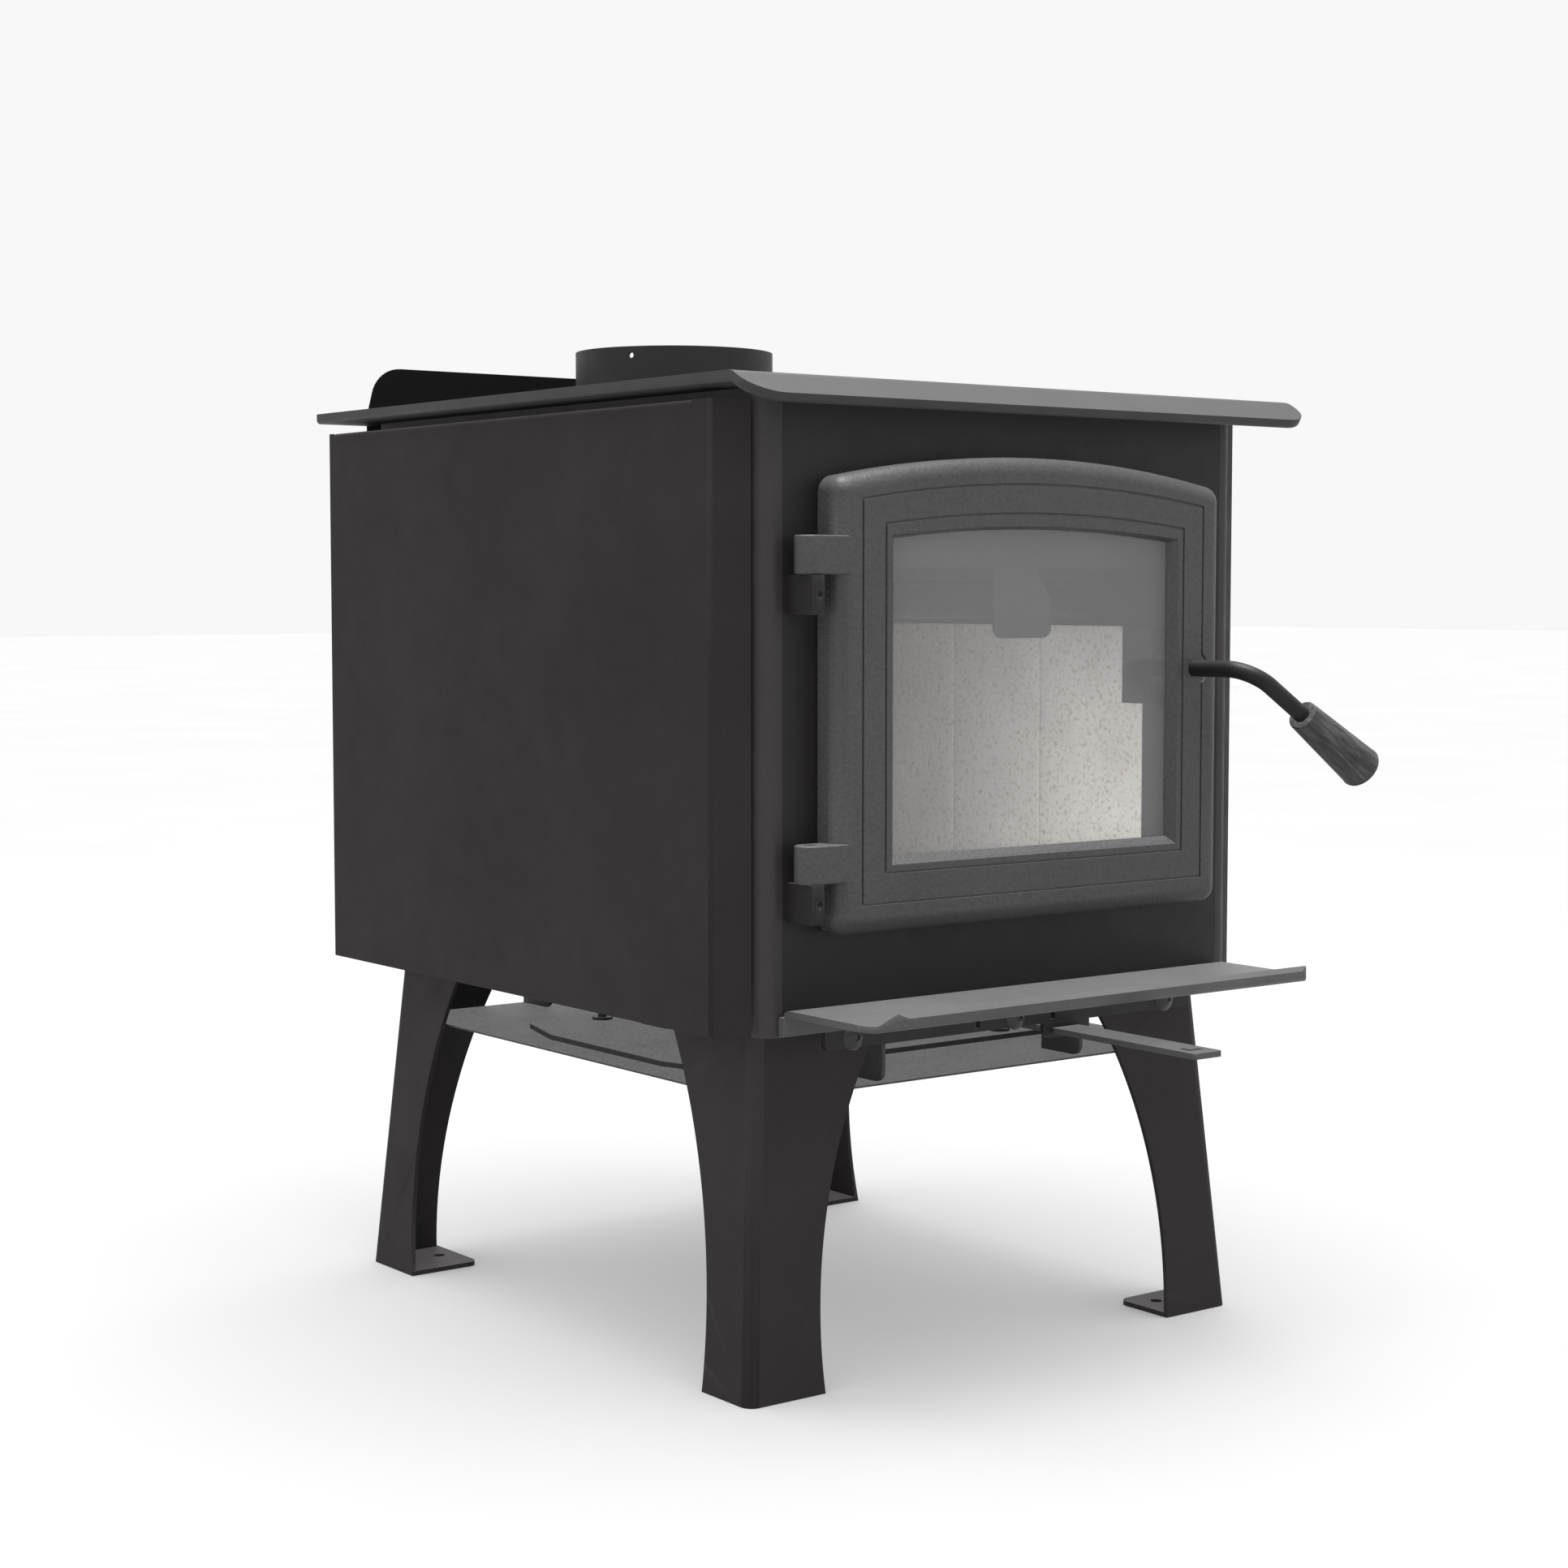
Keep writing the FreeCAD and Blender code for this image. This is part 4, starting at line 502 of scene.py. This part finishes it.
def brick_lining(node, name):
    """Replaces a node of plain blocks with worn bricks."""
    lining = bmesh.new()
    for low, high in solid_boxes(node):
        brick = gridded_box(low, high, BRICK_ROUND, BRICK_STEP)
        worn_brick(brick, low, high)
        temporary = bpy.data.meshes.new("brick_part")
        brick.to_mesh(temporary)
        brick.free()
        lining.from_mesh(temporary)
        bpy.data.meshes.remove(temporary)
    return new_piece(name, lining, "stove", "firebrick", "brick", node)


for side in ("floor", "left", "right", "rear"):
    brick_lining(side + "_bricks", side + "_firebricks")


# ---------------------------------------------------------------- insulation blanket
BATT_ROUND = 5 * MM
BATT_STEP = 9 * MM
BATT_SINK = 2.6 * MM
BATT_LUMPS_PER_METRE = 28.0


def fibre_batt():
    """Soft quilt of fibre over the baffle: uneven top and rounded edges."""
    low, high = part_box("insulation_blanket")
    batt = gridded_box(low, high, BATT_ROUND, BATT_STEP)
    soften_box(batt, low, high, BATT_ROUND)
    for vert in batt.verts:
        lift = (vert.co.z - low.z) / (high.z - low.z)
        vert.co.z -= lift * BATT_SINK * (0.5 + 0.5 * noise.noise(vert.co * BATT_LUMPS_PER_METRE))
    return new_piece("fibre_batt", batt, "stove", "blanket", "fibre_blanket", "insulation_blanket")


fibre_batt()


# ---------------------------------------------------------------- door rope
ROPE_WIDTH = 7.6 * MM
ROPE_STRANDS = 5
ROPE_PITCH = 21 * MM
ROPE_SIDES = 8
ROPE_STEP = 2.6 * MM
ROPE_CORNER = 5 * MM
STRAND_SHARE = 0.42     # a strand's radius as a share of the rope's
SHOULDER_SHARE = 0.95   # how far the arch's shoulder drops for each millimetre that the outline is inset


def arch_outline(node):
    """Half width, sill, shoulder and crown heights of a door-shaped node."""
    low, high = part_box(node)
    side_heights = [vert.co.z for vert in NODES[node].data.vertices if high.x - vert.co.x < 0.05 * MM]
    return high.x, low.z, max(side_heights), high.z


def arch_loop(half, sill, shoulder, crown, step, corner):
    """Evenly spaced points round a door outline with rounded corners, anticlockwise from the sill."""
    rise = crown - shoulder
    radius = (half * half + rise * rise) / (2 * rise)
    centre = crown - radius
    points = []

    def arc(cx, cz, reach, start, end):
        count = max(3, math.ceil(abs(end - start) * reach / step))
        for index in range(count):
            turn = start + (end - start) * index / count
            points.append((cx + reach * math.cos(turn), cz + reach * math.sin(turn)))

    def line(x0, z0, x1, z1):
        count = max(2, math.ceil(math.hypot(x1 - x0, z1 - z0) / step))
        for index in range(count):
            share = index / count
            points.append((x0 + (x1 - x0) * share, z0 + (z1 - z0) * share))

    inner_x = half - corner
    tangent = math.asin(inner_x / (radius - corner))
    top_z = centre + (radius - corner) * math.cos(tangent)
    line(-inner_x, sill, inner_x, sill)
    arc(inner_x, sill + corner, corner, -math.pi / 2, 0)
    line(half, sill + corner, half, top_z)
    arc(inner_x, top_z, corner, 0, math.pi / 2 - tangent)
    arc(0, centre, radius, math.pi / 2 - tangent, math.pi / 2 + tangent)
    arc(-inner_x, top_z, corner, math.pi / 2 + tangent, math.pi)
    line(-half, top_z, -half, sill + corner)
    arc(-inner_x, sill + corner, corner, math.pi, 1.5 * math.pi)
    return points


def twisted_rope():
    """Rope seal of the door: strands that wind round the seal's middle line."""
    low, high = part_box("door_gasket")
    half, sill, shoulder, crown = arch_outline("door_gasket")
    inset = ROPE_WIDTH / 2
    loop = arch_loop(half - inset, sill + inset, shoulder - inset * SHOULDER_SHARE, crown - inset, ROPE_STEP,
                     ROPE_CORNER)
    count = len(loop)
    length = sum(math.dist(loop[index - 1], loop[index]) for index in range(count))
    turns = round(length / ROPE_PITCH)
    strand = ROPE_WIDTH / 2 * STRAND_SHARE
    orbit = ROPE_WIDTH / 2 - strand
    flatten = (high.y - low.y) / ROPE_WIDTH
    middle_y = (low.y + high.y) / 2
    rope = bmesh.new()
    for number in range(ROPE_STRANDS):
        rings = []
        for index in range(count):
            x, z = loop[index]
            ahead, behind = loop[(index + 1) % count], loop[index - 1]
            way = Vector((ahead[0] - behind[0], 0, ahead[1] - behind[1])).normalized()
            outward = Vector((way.z, 0, -way.x))
            turn = 2 * math.pi * (turns * index / count + number / ROPE_STRANDS)
            centre = outward * (orbit * math.cos(turn)) + Vector((0, orbit * math.sin(turn), 0))
            ring = []
            for side in range(ROPE_SIDES):
                angle = 2 * math.pi * side / ROPE_SIDES
                offset = centre + outward * (strand * math.cos(angle))
                offset.y += strand * math.sin(angle)
                ring.append(rope.verts.new((x + offset.x, middle_y + offset.y * flatten, z + offset.z)))
            rings.append(ring)
        tube_rings(rope, rings, closed=True)
    bmesh.ops.recalc_face_normals(rope, faces=rope.faces)
    return new_piece("door_rope", rope, "door", "rope_seal", "rope", "door_gasket")


twisted_rope()


# ---------------------------------------------------------------- wooden grip
GRIP_SIDES = 72
GRIP_STEPS = 56
SMALL_ROUND = 0.8 * MM
SMALL_ROUND_STEPS = 4
LARGE_ROUND = 2.6 * MM
LARGE_ROUND_STEPS = 6
END_FACE_SHARES = (0.8, 0.5, 0.2)
BORE_SHARE = 0.75       # hole in the small end as a share of the latch sleeve's radius
STREAK_DEPTH = 0.14 * MM
STREAKS_ROUND = 9
STREAKS_PER_METRE = 22
AXIS_PASSES = 3         # each pass finds the ends better from the direction of the last one
END_BAND = 0.3 * MM     # corners this near an end of the grip belong to its end face


def grip_axis():
    """Small-end centre, large-end centre and both radii of the grip, from the ends of its mesh."""
    copy = welded_copy("handle_grip")
    spots = [vert.co.copy() for vert in copy.verts]
    copy.free()
    middle = sum(spots, Vector()) / len(spots)
    spindle = sum(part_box("latch_sleeve"), Vector()) / 2
    way = Vector((middle.x - spindle.x, 0, middle.z - spindle.z)).normalized()
    for _ in range(AXIS_PASSES):
        reach = [spot.dot(way) for spot in spots]
        near_limit, far_limit = min(reach) + END_BAND, max(reach) - END_BAND
        near = [spot for spot, value in zip(spots, reach) if value < near_limit]
        far = [spot for spot, value in zip(spots, reach) if value > far_limit]
        start = sum(near, Vector()) / len(near)
        end = sum(far, Vector()) / len(far)
        way = (end - start).normalized()
    around = [(spot - start) - way * (spot - start).dot(way) for spot in spots]
    small = max((spot - start).length for spot in near)
    large = max(offset.length for offset in around)
    return start, end, small, large


def grip_profile(small, large, length):
    """Radius and distance along the grip of each ring, from the bore round both ends."""
    sleeve_low, sleeve_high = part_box("latch_sleeve")
    bore = (sleeve_high.x - sleeve_low.x) / 2 * BORE_SHARE
    profile = [(bore, 0.0), (small - SMALL_ROUND, 0.0)]
    for index in range(1, SMALL_ROUND_STEPS + 1):
        turn = math.pi / 2 * index / SMALL_ROUND_STEPS
        profile.append((small - SMALL_ROUND + SMALL_ROUND * math.sin(turn),
                        SMALL_ROUND * (1 - math.cos(turn))))
    for index in range(1, GRIP_STEPS):
        share = index / GRIP_STEPS
        profile.append((small + (large - small) * share, length * share))
    profile = [spot for spot in profile if spot[1] < length - LARGE_ROUND]
    for index in range(LARGE_ROUND_STEPS + 1):
        turn = math.pi / 2 * index / LARGE_ROUND_STEPS
        profile.append((large - LARGE_ROUND + LARGE_ROUND * math.cos(turn),
                        length - LARGE_ROUND + LARGE_ROUND * math.sin(turn)))
    return profile + [((large - LARGE_ROUND) * share, length) for share in END_FACE_SHARES]


def turned_grip():
    """Tapered grip with softened ends and the shallow streaks of hand-finished wood."""
    start, end, small, large = grip_axis()
    length = (end - start).length
    grip = bmesh.new()
    rings = []
    for radius, along in grip_profile(small, large, length):
        on_side = SMALL_ROUND < along < length - LARGE_ROUND
        ring = []
        for side in range(GRIP_SIDES):
            angle = 2 * math.pi * side / GRIP_SIDES
            x, y = math.cos(angle), math.sin(angle)
            spot = Vector((x * STREAKS_ROUND, y * STREAKS_ROUND, along * STREAKS_PER_METRE))
            streak = noise.noise(spot) if on_side else 0.0
            reach = radius - STREAK_DEPTH * max(0.0, streak)
            ring.append(grip.verts.new((x * reach, y * reach, along)))
        rings.append(ring)
    tube_rings(grip, rings, closed=False)
    bmesh.ops.recalc_face_normals(grip, faces=grip.faces)
    turn = (end - start).to_track_quat("Z", "Y").to_matrix().to_4x4()
    grip.transform(Matrix.Translation(start) @ turn)
    return new_piece("wood_grip", grip, "handle", "grip_wood", "wood", "handle_grip")


turned_grip()


# ---------------------------------------------------------------- weld bead
WELD_RADIUS = 2.2 * MM
WELD_OUTSET = 0.6 * MM  # distance of the bead's middle line from the collar
WELD_RIPPLE = 2.4 * MM
WELD_RIPPLE_SHARE = 0.18
WELD_STEP = 0.8 * MM
WELD_SIDES = 10


def collar_weld():
    """Rippled fillet of weld round the foot of the collar."""
    low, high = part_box("flue_collar")
    foot = (low + high) / 2
    foot.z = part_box("top_plate")[1].z
    reach = (high.x - low.x) / 2 + WELD_OUTSET
    length = 2 * math.pi * reach
    count = round(length / WELD_STEP)
    bead = bmesh.new()
    rings = []
    for index in range(count):
        turn = 2 * math.pi * index / count
        outward = Vector((math.cos(turn), math.sin(turn), 0))
        ripple = abs(math.sin(math.pi * length * index / count / WELD_RIPPLE))
        size = WELD_RADIUS * (1 - WELD_RIPPLE_SHARE + WELD_RIPPLE_SHARE * ripple)
        ring = []
        for corner in range(WELD_SIDES):
            angle = 2 * math.pi * corner / WELD_SIDES
            spot = foot + outward * (reach + size * math.cos(angle))
            spot.z += size * math.sin(angle)
            ring.append(bead.verts.new(spot))
        rings.append(ring)
    tube_rings(bead, rings, closed=True)
    bmesh.ops.recalc_face_normals(bead, faces=bead.faces)
    return new_piece("collar_weld", bead, "stove", "flue_steel", "flue_paint")


collar_weld()


# ---------------------------------------------------------------- edges of the CAD sheet metal
# Width in millimetres of the small bevel on each node's sharp edges.
BEVEL_WIDTH = {
    "top_plate": 0.6, "ash_lip": 0.6, "front_plate": 0.35, "door_frame": 0.35,
    "left_side_panel": 0.25, "right_side_panel": 0.25, "rear_heat_shield": 0.25, "bottom_heat_shield": 0.25,
    "front_left_leg": 0.5, "front_right_leg": 0.5, "rear_left_leg": 0.5, "rear_right_leg": 0.5,
    "front_beam": 0.5, "hinge_brackets": 0.5, "lever_guide": 0.5, "latch_finger": 0.5,
    "air_lever": 0.4, "shield_hangers": 0.4, "latch_box": 0.3, "glass_clips": 0.3, "airwash_deflector": 0.25,
}
BEVEL_SEGMENTS = 2
SHARPEST_SMOOTH = 40    # degrees; a sharper edge than this gets the bevel

for node, width in BEVEL_WIDTH.items():
    weld = NODES[node].modifiers.new("join", "WELD")
    weld.merge_threshold = JOIN_DISTANCE
    edge = NODES[node].modifiers.new("edge", "BEVEL")
    edge.width = width * MM
    edge.segments = BEVEL_SEGMENTS
    edge.limit_method = "ANGLE"
    edge.angle_limit = math.radians(SHARPEST_SMOOTH)
    edge.harden_normals = True


# ---------------------------------------------------------------- floor, light and camera
SKY_STRENGTH = 0.935
FLOOR_SUN = 0.56
STOVE_SUN = 9.0
SUN_SPREAD = 40         # degrees
SUN_HEIGHT = 3.0
TOP_LIGHT_POWER = 15.0
FIRE_LIGHT_POWER = 1.2
FLOOR_REACH = 30.0
FLOOR_DROP = 0.2 * MM
FLOOR_CORNERS = [(-1, -1), (1, -1), (1, 1), (-1, 1)]
CAMERA_LENS = 63.28
CAMERA_SENSOR = 36.0
CAMERA_PLACE = (-1.2752, -1.68705, 0.53605)
CAMERA_TILT = 86.008    # degrees up from looking straight down
CAMERA_TURN = -37.046   # degrees about the upright axis
# Pieces that the even light from above doesn't reach, besides the firebricks.
INSIDE = {
    "fibre_batt", "baffle_boards", "secondary_air_tubes", "airwash_deflector", "latch_box", "latch_finger",
    "latch_sleeve", "latch_nut", "front_air_manifold", "left_air_riser", "right_air_riser",
    "left_air_channel", "right_air_channel", "rear_air_channel",
}


def place_object(name, data):
    """New object in the scene, made from a mesh, light or camera."""
    holder = bpy.data.objects.new(name, data)
    bpy.context.scene.collection.objects.link(holder)
    return holder


def light_only(light, name, pieces):
    """Limits a light to the given pieces."""
    group = bpy.data.collections.new(name)
    for piece in pieces:
        group.objects.link(piece)
    light.light_linking.receiver_collection = group


def soft_light(name, place, target, size, power):
    """Rectangular area light that the camera doesn't see."""
    lamp = bpy.data.lights.new(name, "AREA")
    lamp.shape = "RECTANGLE"
    lamp.size, lamp.size_y = size
    lamp.energy = power
    light = place_object(name, lamp)
    light.location = place
    light.rotation_euler = (Vector(target) - Vector(place)).to_track_quat("-Z", "Y").to_euler()
    light.visible_camera = False
    return light


def overhead_sun(name, strength, pieces):
    """Even light from straight above that falls on the given pieces only and casts no shadow."""
    lamp = bpy.data.lights.new(name, "SUN")
    lamp.energy = strength
    lamp.angle = math.radians(SUN_SPREAD)
    lamp.use_shadow = False
    light = place_object(name, lamp)
    light.location.z = SUN_HEIGHT
    light_only(light, name + "_pieces", pieces)


def pale_floor():
    """Wide floor just below the feet, with its own even light."""
    mesh = bpy.data.meshes.new("studio_floor")
    corners = [(x * FLOOR_REACH, y * FLOOR_REACH, 0) for x, y in FLOOR_CORNERS]
    mesh.from_pydata(corners, [], [(0, 1, 2, 3)])
    mesh.materials.append(studio_floor("studio_floor"))
    floor = place_object("studio_floor", mesh)
    floor.location.z = -FLOOR_DROP
    overhead_sun("floor_sun", FLOOR_SUN, [floor])


def white_sky():
    """Plain white surroundings, and colours shown without a film curve."""
    world = bpy.data.worlds.new("studio_world")
    bpy.context.scene.world = world
    world.use_nodes = True
    sky = world.node_tree.nodes["Background"]
    sky.inputs["Color"].default_value = (1.0, 1.0, 1.0, 1.0)
    sky.inputs["Strength"].default_value = SKY_STRENGTH
    bpy.context.scene.view_settings.view_transform = "Standard"


def stove_lights(lining, outside):
    """Even light on the outside, a soft light from above, and a glow on the lining alone."""
    overhead_sun("overhead", STOVE_SUN, outside)
    soft_light("top_light", place=(0.0, -0.2, 2.6), target=(0.0, -0.1, 0.6), size=(1.8, 1.8),
               power=TOP_LIGHT_POWER)
    fire_light = soft_light("fire_light", place=(0.0, -0.2, 0.36), target=(0.19, -0.08, 0.33),
                            size=(0.14, 0.16), power=FIRE_LIGHT_POWER)
    light_only(fire_light, "lining_pieces", lining)


def camera():
    """Camera in front of the stove's left corner, looking slightly down."""
    lens = bpy.data.cameras.new("camera")
    lens.lens = CAMERA_LENS
    lens.sensor_width = CAMERA_SENSOR
    lens.clip_start, lens.clip_end = 0.05, 100.0
    viewer = place_object("camera", lens)
    viewer.location = CAMERA_PLACE
    viewer.rotation_euler = (math.radians(CAMERA_TILT), 0.0, math.radians(CAMERA_TURN))
    bpy.context.scene.camera = viewer


stove_pieces = [piece for piece in bpy.context.scene.objects if piece.type == "MESH"]
firebricks = [piece for piece in stove_pieces if "firebrick" in piece.name]
lit_outside = [piece for piece in stove_pieces if piece not in firebricks and piece.name not in INSIDE]
pale_floor()
white_sky()
stove_lights(firebricks, lit_outside)
camera()
